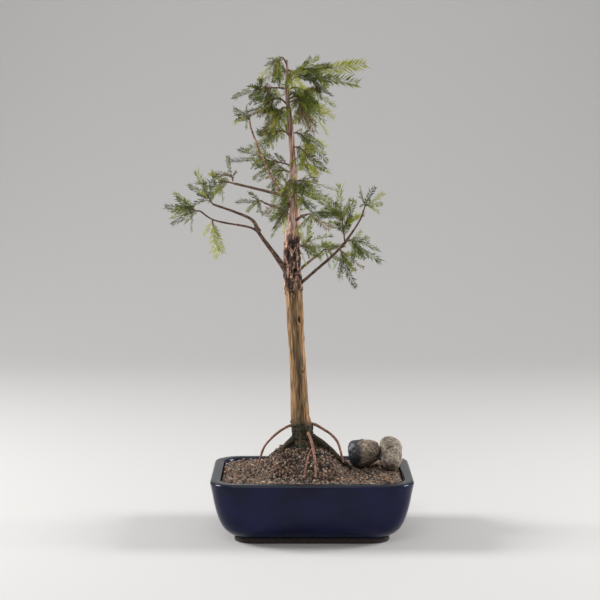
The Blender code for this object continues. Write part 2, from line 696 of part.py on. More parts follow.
def main():
    clear_scene()
    scene = bpy.context.scene.collection
    glaze = material("navy_glaze", (0.010, 0.011, 0.026), 0.15)
    grit = material("grit", (0.26, 0.18, 0.13), 0.95)
    rock = material("stone", (0.20, 0.17, 0.14), 0.85)
    bark = material("bark", (0.24, 0.14, 0.08), 0.9)
    root_bark = material("root_bark", (0.19, 0.09, 0.06), 0.8)
    needles = material("foliage", (0.13, 0.17, 0.04), 0.6)

    built = {"pot": (pot_shape(), glaze), "soil": (soil_shape(), grit), "trunk": (trunk_shape(), bark)}
    trees = {name: tree_of(shape) for name, (shape, _) in built.items()}

    def add(name, shape, finish):
        built[name] = (shape, finish)
        trees[name] = tree_of(shape)

    for name, limb in LIMBS.items():
        add(name, limb_shape(limb, trees.values()), bark)
    for name, limb in ROOTS.items():
        add(name, limb_shape(limb, trees.values()), root_bark)
    for name, limb in RIDGE_ROOTS.items():
        add(name, ridge_root_shape(limb, trees["soil"]), bark)
    neighbours = []
    for name, stone in STONES.items():
        add(name, stone_shape(stone, [trees["soil"], trees["pot"]], neighbours), rock)
        neighbours.append((stone, trees[name]))
    for name, (shape, finish) in built.items():
        make_object(name, shape, finish, scene)
    stems = {name: stem_shape(mass, trees.values()) for name, mass in MASSES.items()}
    trees.update({name: tree_of(stem) for name, stem in stems.items()})
    for name, mass in MASSES.items():
        others = [tree for other, tree in trees.items() if other != name]
        fused = fuse(name, mass_shapes(mass, stems[name], others), needles)
        fused_points = [vertex.co / MM for vertex in fused.data.vertices]
        fused_faces = [tuple(polygon.vertices) for polygon in fused.data.polygons]
        trees[name] = tree_of((fused_points, fused_faces))


main()
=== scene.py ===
"""Bald cypress bonsai: bark, needle sprays, grit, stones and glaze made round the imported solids.

Sizes and places are in millimetres, in the solids' own frame, and become metres when a mesh is made.
"""
import itertools
import math
import random
from collections import namedtuple

import bmesh
import bpy
from mathutils import Matrix, Vector, noise
from mathutils.bvhtree import BVHTree


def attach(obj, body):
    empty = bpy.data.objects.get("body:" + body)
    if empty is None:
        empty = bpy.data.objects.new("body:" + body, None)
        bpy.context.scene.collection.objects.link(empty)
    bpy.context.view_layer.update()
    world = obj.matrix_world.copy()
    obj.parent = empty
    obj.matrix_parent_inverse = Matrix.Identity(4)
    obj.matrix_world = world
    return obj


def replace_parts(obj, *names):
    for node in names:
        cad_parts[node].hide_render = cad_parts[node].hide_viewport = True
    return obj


MM = 0.001
UP = Vector((0, 0, 1))

# Camera: the photo's own view, fitted to the pot
CAMERA_PLACE = (-0.012, -1.7, 0.4178)
CAMERA_PITCH = 6.01
CAMERA_LENS = 101.3
SENSOR_WIDTH = 36

# Pot
POT_LENGTH = 203
POT_DEPTH = 152
POT_HEIGHT = 64
POT_CORNER = 26
CORNER_SHRINK = 0.3
CORNER_STEPS = 18
RIM_WIDTH = 10
RIM_ROUNDING = 2.6
FOOT_INSET = 23.5
FOOT_HEIGHT = 6.5
SOIL_LEVEL = 61
GLAZE_STEP = 1.6
GLAZE_OUTSIDE = (
    (24.5, 6.4), (21.6, 6.5), (20.5, 7.3), (16.4, 10.6), (12.4, 15.4), (8.8, 23), (6, 32), (3.7, 42),
    (1.7, 53), (0.25, POT_HEIGHT - RIM_ROUNDING - 1.2), (0.05, POT_HEIGHT - 2.2), (0.5, POT_HEIGHT - 0.9),
    (1.5, POT_HEIGHT - 0.2), (RIM_ROUNDING, POT_HEIGHT),
)
GLAZE_INSIDE = (
    (RIM_WIDTH - 1.8, POT_HEIGHT), (RIM_WIDTH - 0.5, POT_HEIGHT - 0.4), (RIM_WIDTH, POT_HEIGHT - 1.4),
    (10.4, SOIL_LEVEL), (11, 54),
)
FOOT_PROFILE = (
    (FOOT_INSET + 1.2, 0), (FOOT_INSET + 0.3, 0.3), (FOOT_INSET, 1.1), (FOOT_INSET, FOOT_HEIGHT + 0.4),
)

# Soil
MOUND_TOP = 88
MOUND_FLAT = 18
MOUND_RADIUS = 56
MOUND_CENTRE = (-9, 0)
GRAIN_SEED = 71
GRAIN_FORMS = 12
GRAIN_STRETCHES = ((0.8, 1.15), (0.7, 1), (0.55, 0.9))
GRAIN_CORNERS = (0.78, 1.12)
GRAIN_SIZES = (0.85, 1)
GRAIN_PLACES = (0.1, 0.9)
GRAIN_SCATTER = 0.5
GRAIN_LAYERS = ((3.1, 2.7, 4.6, -0.5), (3.7, 2.2, 3.6, 1), (9, 4.2, 5.8, 0.9))
WALL_GAP = 12.6

# Trunk
TRUNK_GROUND = 88.3
TRUNK_TIP = 480
TRUNK_BURIED = 5
TRUNK_SIDES = 96
TRUNK_STEP = 0.7
FLARE_HEIGHT = 11
FLARE_RIDGES = ((-12, 5.6), (62, 3), (128, 3.4), (196, 4.6), (258, 3.6), (310, 3))
RIDGE_WIDTH = 20
TRUNK_SMOOTHING = 4
TRUNK_TIP_SHARE = 0.4

# The trunk's bark: where it is rough, and its noises by fineness across, fineness along and shift
ROUGH_ZONE = (236, 252, 300, 318)
FIBRES = (0.42, 0.03, 0)
STRANDS = (1.1, 0.075, 9)
PLATES = (0.22, 0.11, 31)
FLAKES = (0.7, 0.3, 3)
PLATE_STEPS = 3.4
CRACK_WIDTH = 0.13
FULL_RELIEF = 7

Station = namedtuple("Station", "height x y radius")
TRUNK_STATIONS = [Station(*row) for row in (
    (80, -9, 0, 12), (88, -9, 0, 12), (95, -9, 0, 10), (101, -9.2, 0, 9), (108, -9.8, 0, 10),
    (114, -11, 0, 9.8), (120, -12, 0.2, 8.9), (137, -12.5, 0.4, 8.6), (178, -14.5, 1, 7.6),
    (200, -16.1, 1, 7.7), (219, -16.8, 0.6, 8.4), (240, -17.6, 0, 8), (269, -20, -0.6, 7.8),
    (290, -20.6, -1, 7.3), (306, -19.4, -1, 6.4), (330, -17.6, -0.6, 5), (350, -18.4, 0, 4.3),
    (380, -19.2, 0.4, 3.1), (410, -21.2, 0.4, 2.7), (430, -23.4, 0, 2.3), (450, -25.2, 0, 2),
    (470, -24.6, 0, 1.5), (480, -25, 0, 0.8),
)]

# Knots and scars on the trunk: their angle in degrees, height, half-width, half-height and depth
Scar = namedtuple("Scar", "angle height width tall depth")
SCARS = (
    Scar(-68, 270, 1.9, 2.4, 2.6),
    Scar(-52, 301, 2.4, 7, 1.6),
    Scar(-63, 219.5, 1.5, 3.6, 1.8),
    Scar(-60, 166, 1.2, 2.4, 1),
    Scar(95, 240, 1.8, 3, 1.8),
    Scar(20, 200, 1.5, 3, 1.4),
)
SCAR_REACH = 3
SCAR_SHARPNESS = 1.6
SCAR_LIP = 0.9
LIP_PLACE = 1.35
LIP_WIDTH = 0.35

# Moss: dark tufts on the collar, least at the first height and the second, most at the third
MOSS_SEED = 44
MOSS_COUNT = 420
MOSS_HEIGHTS = (84, 118, 98)
MOSS_SIZES = (0.7, 1.7)
MOSS_FLARE = 3
MOSS_FORMS = 6
MOSS_ON_ROOT = 0.8
BARE_STEPS = 6
MOSS_TINTS = {
    "moss_black": (0.014, 0.013, 0.009),
    "moss_olive": (0.045, 0.046, 0.018),
    "moss_brown": (0.085, 0.046, 0.03),
}
MOSS_WEIGHTS = (5, 3, 2)

# Limbs: the path of the axis from inside what bears it to its tip, and the radius at each end
Limb = namedtuple("Limb", "path foot_radius tip_radius")
BOUGHS = {
    "bough_left_rise": Limb(
        ((-19, 0, 258), (-24, -1, 265), (-37, -6, 285), (-50, -12, 303), (-57, -15, 315)), 2.9, 1.6),
    "bough_left_reach": Limb(
        ((-53, -14, 309), (-60, -16, 321), (-77, -18, 329), (-99, -22, 337)), 1.7, 1),
    "bough_left_low": Limb(
        ((-53, -14, 309), (-64, -16, 314), (-86, -18, 318), (-100, -20, 322), (-111, -22, 330)), 1.1, 0.8),
    "bough_left_upper": Limb(((-18, 0, 341), (-40, 8, 347), (-80, 22, 356)), 1.7, 1.2),
    "bough_left_upright": Limb(
        ((-19, -1, 330), (-36, -8, 355), (-49, -14, 382), (-60, -18, 410), (-62, -19, 420)), 1.5, 0.9),
    "bough_right": Limb(((-17, 0, 251), (18, -8, 282), (33, -12, 297)), 1.6, 1.1),
    "bough_right_upper": Limb(((30, -11, 294), (40, -14, 308), (48, -16, 321), (52, -18, 332)), 1.2, 0.8),
    "bough_back_right": Limb(((-19, 0, 262), (-8, 16, 272), (10, 40, 284)), 1.7, 1),
    "bough_front_right": Limb(((-18, 0, 318), (-11, -14, 324), (-5, -28, 327)), 1.5, 1),
    "bough_back_left": Limb(((-19, 0, 322), (-33, 22, 330), (-49, 45, 335)), 1.6, 1),
    "bough_back": Limb(((-19, 0, 296), (-18, 24, 306), (-20, 46, 317)), 1.7, 1),
}
ROOTS = {
    "root_left": Limb(
        ((-10, 0, 111), (-20, -2, 111), (-31, -4, 106), (-41, -6, 98), (-49, -8, 88), (-55, -10, 70)),
        1.5, 1),
    "root_right": Limb(
        ((-8, 0, 111), (2, -3, 112), (12, -5, 107), (20, -8, 102), (27, -11, 93), (32, -13, 74)), 1.6, 1.1),
    "root_front": Limb(((-6, -2, 106), (-3, -14, 103), (0, -22, 96), (2, -32, 87), (4, -48, 66)), 1.6, 1),
    "root_fork": Limb(((1, -26, 92), (-3, -32, 86), (-6, -41, 76), (-8, -47, 66)), 0.9, 0.7),
}
RIDGE_ROOTS = {
    "root_ridge_right": Limb(
        ((0, -2, 98), (10, -4, 93), (19, -6, 86), (28, -7, 78), (35, -8, 72), (41, -9, 66)), 3.4, 1.4),
    "root_ridge_left": Limb(
        ((-18, -4, 97), (-26, -8, 91), (-31, -11, 85), (-36, -14, 79), (-42, -18, 71)), 2.8, 1.2),
}

# Bark on a limb: the step along it, its collar's swelling, its sides, and its relief's height and grain
LimbBark = namedtuple("LimbBark", "step collar sides rough grain")
BOUGH_BARK = LimbBark(0.9, 0.7, 20, 0.22, 0.7)
ROOT_BARK = LimbBark(0.8, 0.5, 14, 0.16, 0.9)
RIDGE_BARK = LimbBark(0.9, 0.3, 48, 1.1, 0.3)
COLLAR_REACH = 3.2
KNOT_SWELL = 0.1
KNOT_FINENESS = 0.12
LIMB_TIP_SHARE = 0.5
PALE_BOUGH = "bough_left_upright"

# Foliage: each mass grows from one stem, by the same rule and seeds as its solid
STEM_RADII = (0.85, 0.5)
TWIG_RADII = (0.55, 0.35)
RACHIS_RADII = (0.28, 0.12)
STEM_STEPS = 4
TIP_SPRAY_SHARE = 0.94
LEAST_STEM_SHARE = 0.12
TWIG_ZONE = (0.35, 0.75)
TWIG_SHARE = 0.42
TWIG_LENGTHS = (0.35, 0.6)
TWIG_SCATTER = 25
TWIG_SAG = 0.3
TWIG_ARCH = 0.06
PLACE_SHARES = (0.2, 0.8)
ANGLE_SHARES = (0.8, 1.25)
LOWER_SEAT = (0.62, 0.82)
LOWER_SIZES = (0.7, 0.9)
END_SIZES = (0.75, 1)
MIDDLE_SIZES = (0.6, 0.85)
SPRAY_WIDTH = 0.42
SPRAY_TRIES = 4
SPRAY_SCATTER = 16
SPRAY_DROOP = 0.12
DROOP_SHARES = (0.2, 1)
HANG_SHARES = (0.3, 1)
SPACE_MARGIN = 0.35
LIMB_CLEARANCE = 1.2
TESTED_SHARES = (0.3, 0.55, 0.8, 1)
STEM_SIDES = 8
TWIG_SIDES = 6
RACHIS_SIDES = 4
RACHIS_SHARES = (0, 0.25, 0.5, 0.75, 1)
TWIG_STEP = 1.6

# Needles: how close they stand and how wide they are, their lean in degrees and their spread in length
NEEDLE_PITCH = 0.95
NEEDLE_WIDTH = 0.72
NEEDLE_WIDTHS = (0.85, 1.15)
LONGEST_NEEDLE = 8
FEWEST_NEEDLES = 6
NEEDLE_LEAN = 58
LEAN_FALL = 24
LEAN_SPREAD = 9
LEAST_LEAN = 0.4
NEEDLE_LIFT = (0.05, 0.26)
NEEDLE_LENGTHS = (0.62, 1.15)
NEEDLE_MIDDLE = 0.42
NEEDLE_FOLD = 0.22
FIRST_NEEDLE = 0.05
NEEDLE_RUN = 0.93
LAST_NEEDLE = 0.97
LAST_SIZE = 0.6
CURL = 0.14

# A spray's outline: the part of a half-wave of sine that its width follows, and how blunt it is
OUTLINE_START = 0.12
OUTLINE_RUN = 0.76
BLUNTNESS = 0.7

# Finer sprays, between the main ones
FINE_SEED = 500
FINE_PITCH = 1.5
FINE_START = 0.22
FINE_RUN = 0.74
FINE_SIZE = (0.32, 0.78)
FINE_DROOP = 2.6
FINE_SPREADS = (0.8, 1.7)
LEAST_SPREAD = 30
LARGEST_FINE = 28
FINE_SCATTER = 30
FINE_TURN = 20

# Foliage masses: their stem's start, reach and arch, the length of a spray, the count and spread of side
# twigs, the turn of the flat side, how much the sprays hang, and the seed
Mass = namedtuple("Mass", "start reach arch spray twigs spread face hang seed")
MASSES = {
    "top_right": ((-24, 0, 462), (74, -4, 14), 6, 46, 0, 9, 85, 0, 11),
    "top_right_low": ((-24, 0, 457), (66, 8, 6), 6, 40, 0, 9, 75, 0, 12),
    "top_left": ((-25, 0, 474), (-32, 2, -16), 11, 24, 1, 40, 60, 0.5, 13),
    "top_twig": ((-25, 0, 451), (-53, -6, -3), 2, 20, 2, 45, 45, 0.3, 14),
    "top_front": ((-25, 0, 468), (12, -34, -14), 4, 24, 1, 45, 30, 0.4, 15),
    "top_back": ((-25, 0, 466), (-8, 38, 0), 4, 24, 1, 45, 20, 0.2, 16),
    "upper_right": ((-24, 0, 450), (46, -6, -18), 6, 28, 2, 40, 60, 0.4, 21),
    "upper_right_low": ((-23, 0, 441), (44, 5, -23), 7, 28, 1, 40, 60, 0.5, 22),
    "upper_right_front": ((-23, 0, 437), (28, -38, -15), 5, 28, 1, 45, 40, 0.5, 23),
    "upper_right_back": ((-23, 0, 444), (28, 40, -8), 5, 28, 1, 45, 30, 0.3, 24),
    "upper_left": ((-24, 0, 434), (-48, -4, -4), 9, 26, 2, 40, 55, 0.5, 25),
    "upper_left_front": ((-23, 0, 430), (-26, -40, -12), 5, 28, 1, 45, 40, 0.5, 26),
    "upper_left_back": ((-23, 0, 426), (-26, 42, -12), 5, 28, 1, 45, 40, 0.5, 27),
    "upright": ((-62, -19, 420), (-10, -8, 13), 2, 20, 2, 50, 60, 0.7, 29),
    "middle_left": ((-19, 0, 374), (-61, -6, 9), 2, 26, 2, 40, 35, 0, 31),
    "middle_left_high": ((-21, 0, 402), (-43, -14, -5), 9, 24, 2, 40, 60, 0.4, 32),
    "middle_left_back": ((-19, 0, 366), (-36, 36, -2), 4, 24, 1, 45, 30, 0.2, 33),
    "middle_left_front": ((-19, 0, 358), (-18, -36, -18), 6, 26, 1, 45, 40, 0.5, 34),
    "middle_left_hanging": ((-18, -1, 330), (-26, -16, -14), 8, 26, 1, 40, 60, 0.5, 35),
    "middle_right": ((-21, 0, 406), (38, 6, -20), 5, 24, 1, 40, 60, 0.3, 36),
    "middle_right_front": ((-20, 0, 392), (32, -24, -14), 4, 24, 1, 40, 50, 0.4, 37),
    "middle_right_back": ((-19, 0, 372), (36, 32, 0), 4, 24, 1, 40, 30, 0.2, 38),
    "middle_right_out": ((-18, 0, 346), (33, 5, -2), 9, 26, 1, 40, 60, 0.2, 39),
    "lower_right_front": ((-18, 0, 356), (26, -40, -4), 5, 26, 1, 45, 20, 0.3, 40),
    "middle_back": ((-18, 0, 338), (-4, 54, 2), 6, 28, 2, 45, 20, 0.3, 41),
    "left_upper": ((-80, 22, 356), (-36, 4, 2), 1, 22, 1, 40, 50, 0, 51),
    "left_dry": ((-80, 22, 358), (-7, -2, 24), 0, 18, 0, 40, 80, 0, 52),
    "left_reach": ((-99, -22, 337), (-15, -4, 30), 0, 24, 1, 40, 80, -0.4, 53),
    "left_low": ((-111, -22, 330), (-32, -2, 4), 0, 24, 2, 35, 70, 0, 54),
    "left_drooping": ((-99, -20, 321), (2, -3, -34), 0, 30, 0, 18, 60, 0, 55),
    "back_left": ((-49, 45, 335), (-26, -2, 4), 2, 20, 1, 45, 40, 0.2, 56),
    "back": ((-20, 46, 317), (-8, 34, 8), 2, 26, 2, 45, 20, 0.3, 57),
    "front_right": ((-5, -28, 327), (20, -28, -10), 2, 26, 1, 40, 40, 0.2, 58),
    "back_right": ((10, 40, 284), (26, 16, 9), 2, 26, 2, 45, 30, 0.2, 59),
    "right_inner": ((-20, 0, 290), (42, 14, 5), 2, 26, 1, 40, 50, 0.2, 60),
    "right_rise": ((33, -12, 298), (-7, -5, 58), 0, 28, 2, 35, 75, -0.1, 61),
    "right_upper": ((52, -18, 332), (6, -4, 22), 0, 20, 2, 50, 70, -0.2, 66),
    "right_out": ((33, -12, 297), (34, -2, -12), 5, 26, 1, 35, 60, 0.2, 63),
    "right_down": ((25, -10, 289), (18, 2, -33), 8, 24, 1, 35, 60, 0.3, 64),
}

# The crown's regions, and how the names of their masses start
REGIONS = {
    "top": "top",
    "upper": "up",
    "middle": ("middle", "lower"),
    "left": "left",
    "right": "right",
    "behind": ("back", "front"),
}

# Needle tints, and how often each is dealt to a spray; some masses have their own. The bright tint is
# painted light on lit sprays and the dark tint painted shade on shaded ones
TINTS = {
    "needle_painted_light": (0.37, 0.385, 0.05),
    "needle_fresh": (0.205, 0.24, 0.028),
    "needle_green": (0.09, 0.122, 0.017),
    "needle_painted_shade": (0.03, 0.045, 0.01),
    "needle_blue": (0.05, 0.09, 0.032),
    "needle_dry": (0.17, 0.105, 0.05),
}
TINT_WEIGHTS = (4, 6, 6, 3, 0.5, 0.6)
OWN_WEIGHTS = {
    "top_right": (2, 5, 4, 1, 0, 0),
    # Painted shade: the lower top-right mass hangs in shade under the upper one, so it is dealt mostly the
    # dark tint
    "top_right_low": (0, 1, 3, 5, 0, 0),
    "left_dry": (0, 0, 1, 1, 0, 6),
    "top_twig": (1, 3, 4, 2, 3, 0),
    "left_drooping": (6, 3, 0, 0, 0, 0),
    "right_rise": (4, 5, 3, 1, 0, 0),
    "middle_left_hanging": (1, 1, 2, 2, 0, 3),
}

GRIT_TINTS = {
    "grit_tan": (0.225, 0.158, 0.11),
    "grit_pink": (0.2, 0.122, 0.09),
    "grit_grey": (0.165, 0.143, 0.125),
    "grit_cream": (0.4, 0.325, 0.245),
    "grit_orange": (0.26, 0.13, 0.06),
    "grit_dark": (0.05, 0.036, 0.03),
}
GRIT_WEIGHTS = (6, 5, 5, 1.4, 0.7, 4)
SHADED_WEIGHTS = (2, 2, 1, 0.1, 0.3, 12)
SHADED_RADIUS = (14, 34)
BARE_RADIUS = 9

# Bark colours, from the cracks to the high places, and the heights in metres between which each begins
TAN_BARK = ((0.34, (0.085, 0.042, 0.018)), (0.48, (0.26, 0.14, 0.056)), (0.64, (0.47, 0.285, 0.13)))
SHADED_BARK = ((0.34, (0.03, 0.019, 0.009)), (0.62, (0.17, 0.102, 0.042)))
PLATE_BARK = ((0.4, (0.016, 0.009, 0.007)), (0.5, (0.1, 0.048, 0.033)), (0.6, (0.48, 0.32, 0.25)))
PINK_BARK = ((0.34, (0.17, 0.075, 0.05)), (0.48, (0.44, 0.24, 0.175)), (0.6, (0.8, 0.6, 0.5)))
# Painted shade in the bark's hollows and painted light on its high places, by the relief kept with each
# point
BARK_HOLLOW_SHADE = ((0.3, (0.16, 0.13, 0.11)), (0.66, (0.85, 0.85, 0.85)), (0.85, (1.25, 1.2, 1.15)))
COLLAR_MOSS = ((0.35, (0.006, 0.006, 0.004)), (0.7, (0.03, 0.03, 0.012)))
GREEN_TINGE = (0.1, 0.078, 0.034)
PLATES_START = (0.236, 0.256)
PINK_START = (0.296, 0.322)
TINGE_END = (0.24, 0.3)
COLLAR_END = (0.118, 0.13)
RAGGEDNESS = 0.05

# The shaded strip down the trunk's front, which follows the trunk's lean
LEAN_START = 0.137
LEAN_SLOPE = 0.057
STRIP_PLACE = 0.0115
STRIP_EDGE = (0.0015, 0.006)
STRIP_STRENGTH = 0.75

# Thin bark: dark, middle and pale
LIMB_TINTS = {
    "bark_twig": ((0.05, 0.024, 0.016), (0.15, 0.075, 0.048), (0.3, 0.17, 0.11)),
    "bark_green_twig": ((0.1, 0.085, 0.03), (0.19, 0.16, 0.055), (0.3, 0.24, 0.09)),
    "bark_bough": ((0.03, 0.017, 0.012), (0.115, 0.06, 0.04), (0.27, 0.165, 0.115)),
    "bark_pale": ((0.11, 0.052, 0.036), (0.33, 0.19, 0.135), (0.64, 0.47, 0.37)),
    "bark_root": ((0.075, 0.03, 0.02), (0.235, 0.105, 0.066), (0.4, 0.21, 0.14)),
}

# Stones: their colours, and the noises of their surface as pairs of height and fineness
# Painted shade: the dark stone's smooth side is coloured blue-black for the shade on its left; its rough
# side is tan
SHADED_SIDE_STONE = ((0.35, (0.01, 0.011, 0.015)), (0.68, (0.045, 0.047, 0.055)))
ROUGH_STONE = ((0.32, (0.09, 0.068, 0.05)), (0.52, (0.25, 0.195, 0.145)), (0.72, (0.46, 0.385, 0.3)))
PALE_STONE = ((0.3, (0.075, 0.06, 0.048)), (0.5, (0.24, 0.195, 0.15)), (0.72, (0.44, 0.375, 0.3)))
SHADED_SIDE_EDGE = (0.058, 0.066)
STONE_NOISES = ((1.1, 0.11), (0.6, 0.3), (0.3, 0.8))
STONE_FINENESS = 3

# Stage: each light's place, power and size
LIGHTS = {
    "light_left": ((-1.5, 0.15, 1), 36, 0.6),
    "light_right": ((1.5, 0.05, 0.9), 28, 0.6),
    "light_front": ((-0.3, -2, 1.9), 16, 1.2),
}
LIGHT_AIM = (0, 0, 0.25)
WORLD_STRENGTH = 0.4
SWEEP_FRONT = -3
SWEEP_BACK = 1.2
SWEEP_CURVE = 1.2
SWEEP_STEPS = 16
SWEEP_TOP = 4
SWEEP_SIDE = 4

# The Mix node's sockets for colours: the factor, its two inputs and its output
MIX_INPUTS = (0, 6, 7)
MIX_OUTPUT = 2

# Which finish of its piece a twig or bough has
PLAIN = 0
GREEN = 1
PALE = 1

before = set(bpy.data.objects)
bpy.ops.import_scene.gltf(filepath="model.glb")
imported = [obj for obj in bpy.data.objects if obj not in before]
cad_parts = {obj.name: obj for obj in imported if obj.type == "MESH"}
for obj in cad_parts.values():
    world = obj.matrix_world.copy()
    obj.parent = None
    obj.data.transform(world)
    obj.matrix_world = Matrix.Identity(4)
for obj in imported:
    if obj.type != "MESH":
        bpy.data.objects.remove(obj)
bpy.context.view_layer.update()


class Finish:
    """A Principled material whose nodes are added one by one."""

    def __init__(self, name, colour, roughness, **constants):
        self.material = bpy.data.materials.new(name)
        self.material.use_nodes = True
        self.tree = self.material.node_tree
        self.shader = self.tree.nodes["Principled BSDF"]
        self.feed(self.shader, Base_Color=(*colour, 1.0), Roughness=roughness, **constants)
        self.place = self.node("TexCoord").outputs["Object"]

    def give(self, socket, value):
        """Link a socket to a source, or set it to a plain value."""
        if isinstance(value, bpy.types.NodeSocket):
            self.tree.links.new(value, socket)
        else:
            socket.default_value = value

    def feed(self, node, **values):
        """Give a node's inputs, by name, their sources or plain values."""
        for name, value in values.items():
            self.give(node.inputs[name.replace("_", " ")], value)

    def node(self, kind, **values):
        """A new node with what its inputs are given."""
        made = self.tree.nodes.new("ShaderNode" + kind)
        self.feed(made, **values)
        return made

    def noise(self, fineness, detail=4.0, shift=0.0):
        """A noise over the object; its fineness is one number, or three where it is drawn out."""
        scale = fineness if isinstance(fineness, tuple) else (fineness,) * 3
        mapping = self.node("Mapping", Vector=self.place, Scale=scale, Location=(shift,) * 3)
        made = self.node("TexNoise", Vector=mapping.outputs["Vector"], Scale=1.0, Detail=detail)
        return made.outputs["Fac"]

    def axis(self, name):
        """The object's own X, Y or Z in metres."""
        return self.node("SeparateXYZ", Vector=self.place).outputs[name]

    def ramp(self, factor, *stops):
        """A colour ramp from pairs of position and colour."""
        made = self.node("ValToRGB", Fac=factor)
        elements = made.color_ramp.elements
        while len(elements) < len(stops):
            elements.new(0.5)
        for element, (position, colour) in zip(elements, stops):
            element.position = position
            element.color = (*colour, 1.0)
        return made.outputs["Color"]

    def span(self, value, low, high):
        """0 below low, 1 above high and eased between."""
        made = self.node("MapRange", Value=value, From_Min=low, From_Max=high)
        made.interpolation_type = "SMOOTHSTEP"
        return made.outputs["Result"]

    def maths(self, operation, first, second):
        made = self.node("Math")
        made.operation = operation
        for socket, value in zip(made.inputs, (first, second)):
            self.give(socket, value)
        return made.outputs["Value"]

    def mix(self, factor, first, second, blend="MIX"):
        """Two colours mixed; each may be a socket or a plain colour."""
        made = self.node("Mix")
        made.data_type = "RGBA"
        made.blend_type = blend
        for place, value in zip(MIX_INPUTS, (factor, first, second)):
            self.give(made.inputs[place], (*value, 1.0) if isinstance(value, tuple) else value)
        return made.outputs[MIX_OUTPUT]

    def shade_hollows(self, base, *stops):
        """Painted shade: the base colour, darker in the hollows, by the relief kept with each point."""
        relief = self.node("Attribute")
        relief.attribute_name = "relief"
        return self.mix(1.0, base, self.ramp(relief.outputs["Fac"], *stops), "MULTIPLY")

    def colour(self, source):
        self.feed(self.shader, Base_Color=source)

    def roughness(self, factor, low, high):
        made = self.node("MapRange", Value=factor, To_Min=low, To_Max=high)
        self.feed(self.shader, Roughness=made.outputs["Result"])

    def bump(self, height, strength, distance):
        made = self.node("Bump", Height=height, Strength=strength, Distance=distance)
        self.feed(self.shader, Normal=made.outputs["Normal"])


class Shape:
    """Points and faces gathered for one piece, each face with the number of its finish."""

    def __init__(self):
        self.points = []
        self.faces = []
        self.kinds = []
        self.relief = []

    def add(self, points, faces, kind=0, relief=None):
        start = len(self.points)
        self.points += points
        self.faces += [tuple(start + index for index in face) for face in faces]
        self.kinds += [kind] * len(faces)
        self.relief += relief or [0.5] * len(points)

    def piece(self, name, finishes, smooth=True):
        """The gathered mesh as a piece of the part."""
        mesh = bpy.data.meshes.new(name)
        mesh.from_pydata([point * MM for point in self.points], [], self.faces)
        for finish in finishes:
            mesh.materials.append(finish.material)
        mesh.polygons.foreach_set("material_index", self.kinds)
        shade(mesh, smooth)
        keep_relief(mesh, self.relief)
        mesh.update()
        made = placed(name, mesh)
        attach(made, "root")
        return made


def placed(name, data):
    """A new object in the scene."""
    made = bpy.data.objects.new(name, data)
    bpy.context.scene.collection.objects.link(made)
    return made


def dress(mesh, finish):
    """A mesh gets one finish in place of what it had."""
    mesh.materials.clear()
    mesh.materials.append(finish.material)


def shade(mesh, smooth=True):
    mesh.polygons.foreach_set("use_smooth", [smooth] * len(mesh.polygons))


def keep_relief(mesh, relief):
    """Keep with each point how far it stands out, for the colours."""
    mesh.attributes.new("relief", "FLOAT", "POINT").data.foreach_set("value", relief)


def unit(vector):
    return Vector(vector).normalized()


def scaled(colour, factor):
    """A colour made brighter or deeper."""
    return tuple(min(part * factor, 1.0) for part in colour)


def random_turn(rng):
    """A turn about an axis with no favourite direction."""
    return Matrix.Rotation(rng.uniform(0, math.tau), 3, unit([rng.gauss(0, 1) for _ in range(3)]))


def eased(value, low, high):
    """0 below low, 1 above high and eased between."""
    share = min(max((value - low) / (high - low), 0.0), 1.0)
    return share * share * (3 - 2 * share)


def apart(first, second):
    """The turn from one direction to another, in degrees, the shorter way round."""
    return (first - second + 180.0) % 360.0 - 180.0


def around(x, y, radius, turn, height):
    """A point on a circle round an upright axis."""
    return Vector((x + radius * math.cos(turn), y + radius * math.sin(turn), height))


def band(value, edges):
    """1 between the two middle edges, easing to 0 at the outer ones."""
    return eased(value, edges[0], edges[1]) * (1 - eased(value, edges[2], edges[3]))


def through(points, step):
    """A smooth curve through the points, with a point every step or so."""
    points = [Vector(point) for point in points]
    ends = [2 * points[0] - points[1]] + points + [2 * points[-1] - points[-2]]
    curve = []
    for before, first, second, after in zip(ends, ends[1:], ends[2:], ends[3:]):
        count = max(round((second - first).length / step), 1)
        for index in range(count):
            t = index / count
            curve.append(0.5 * (
                2 * first + (second - before) * t
                + (2 * before - 5 * first + 4 * second - after) * t * t
                + (3 * first - before - 3 * second + after) * t * t * t
            ))
    return curve + [points[-1]]


def ring_frames(path):
    """Two side directions at each point of a path, carried along it without twist."""
    tangents = [unit(path[min(i + 1, len(path) - 1)] - path[max(i - 1, 0)]) for i in range(len(path))]
    side = unit(tangents[0].orthogonal())
    frames = []
    for tangent in tangents:
        side = unit(side - tangent * side.dot(tangent))
        frames.append((side, tangent.cross(side)))
    return frames


def loft_faces(rings, sides):
    """Faces round a run of rings, with both ends closed."""
    faces = [tuple(reversed(range(sides)))]
    for level in range(rings - 1):
        for index in range(sides):
            after = (index + 1) % sides
            low = level * sides
            faces.append((low + index, low + after, low + sides + after, low + sides + index))
    faces.append(tuple(range((rings - 1) * sides, rings * sides)))
    return faces


def add_tube(shape, path, radii, sides, kind=0, rough=0.0, grain=0.5):
    """A limb round a path; rough sets how far its bark stands in and out."""
    points = []
    relief = []
    for centre, radius, (side, up) in zip(path, radii, ring_frames(path)):
        for index in range(sides):
            turn = math.tau * index / sides
            way = side * math.cos(turn) + up * math.sin(turn)
            spot = centre + way * radius
            lift = 0.0
            if rough:
                across = way * (radius * grain * 2.0) + centre * (grain * 0.18)
                lift = noise.noise(across) + 0.5 * noise.noise(across * 2.3)
                spot = spot + way * (lift * rough)
            points.append(spot)
            relief.append(0.5 + 0.5 * lift)
    shape.add(points, loft_faces(len(path), sides), kind, relief)


def taper(count, foot, tip):
    return [foot + (tip - foot) * index / max(count - 1, 1) for index in range(count)]


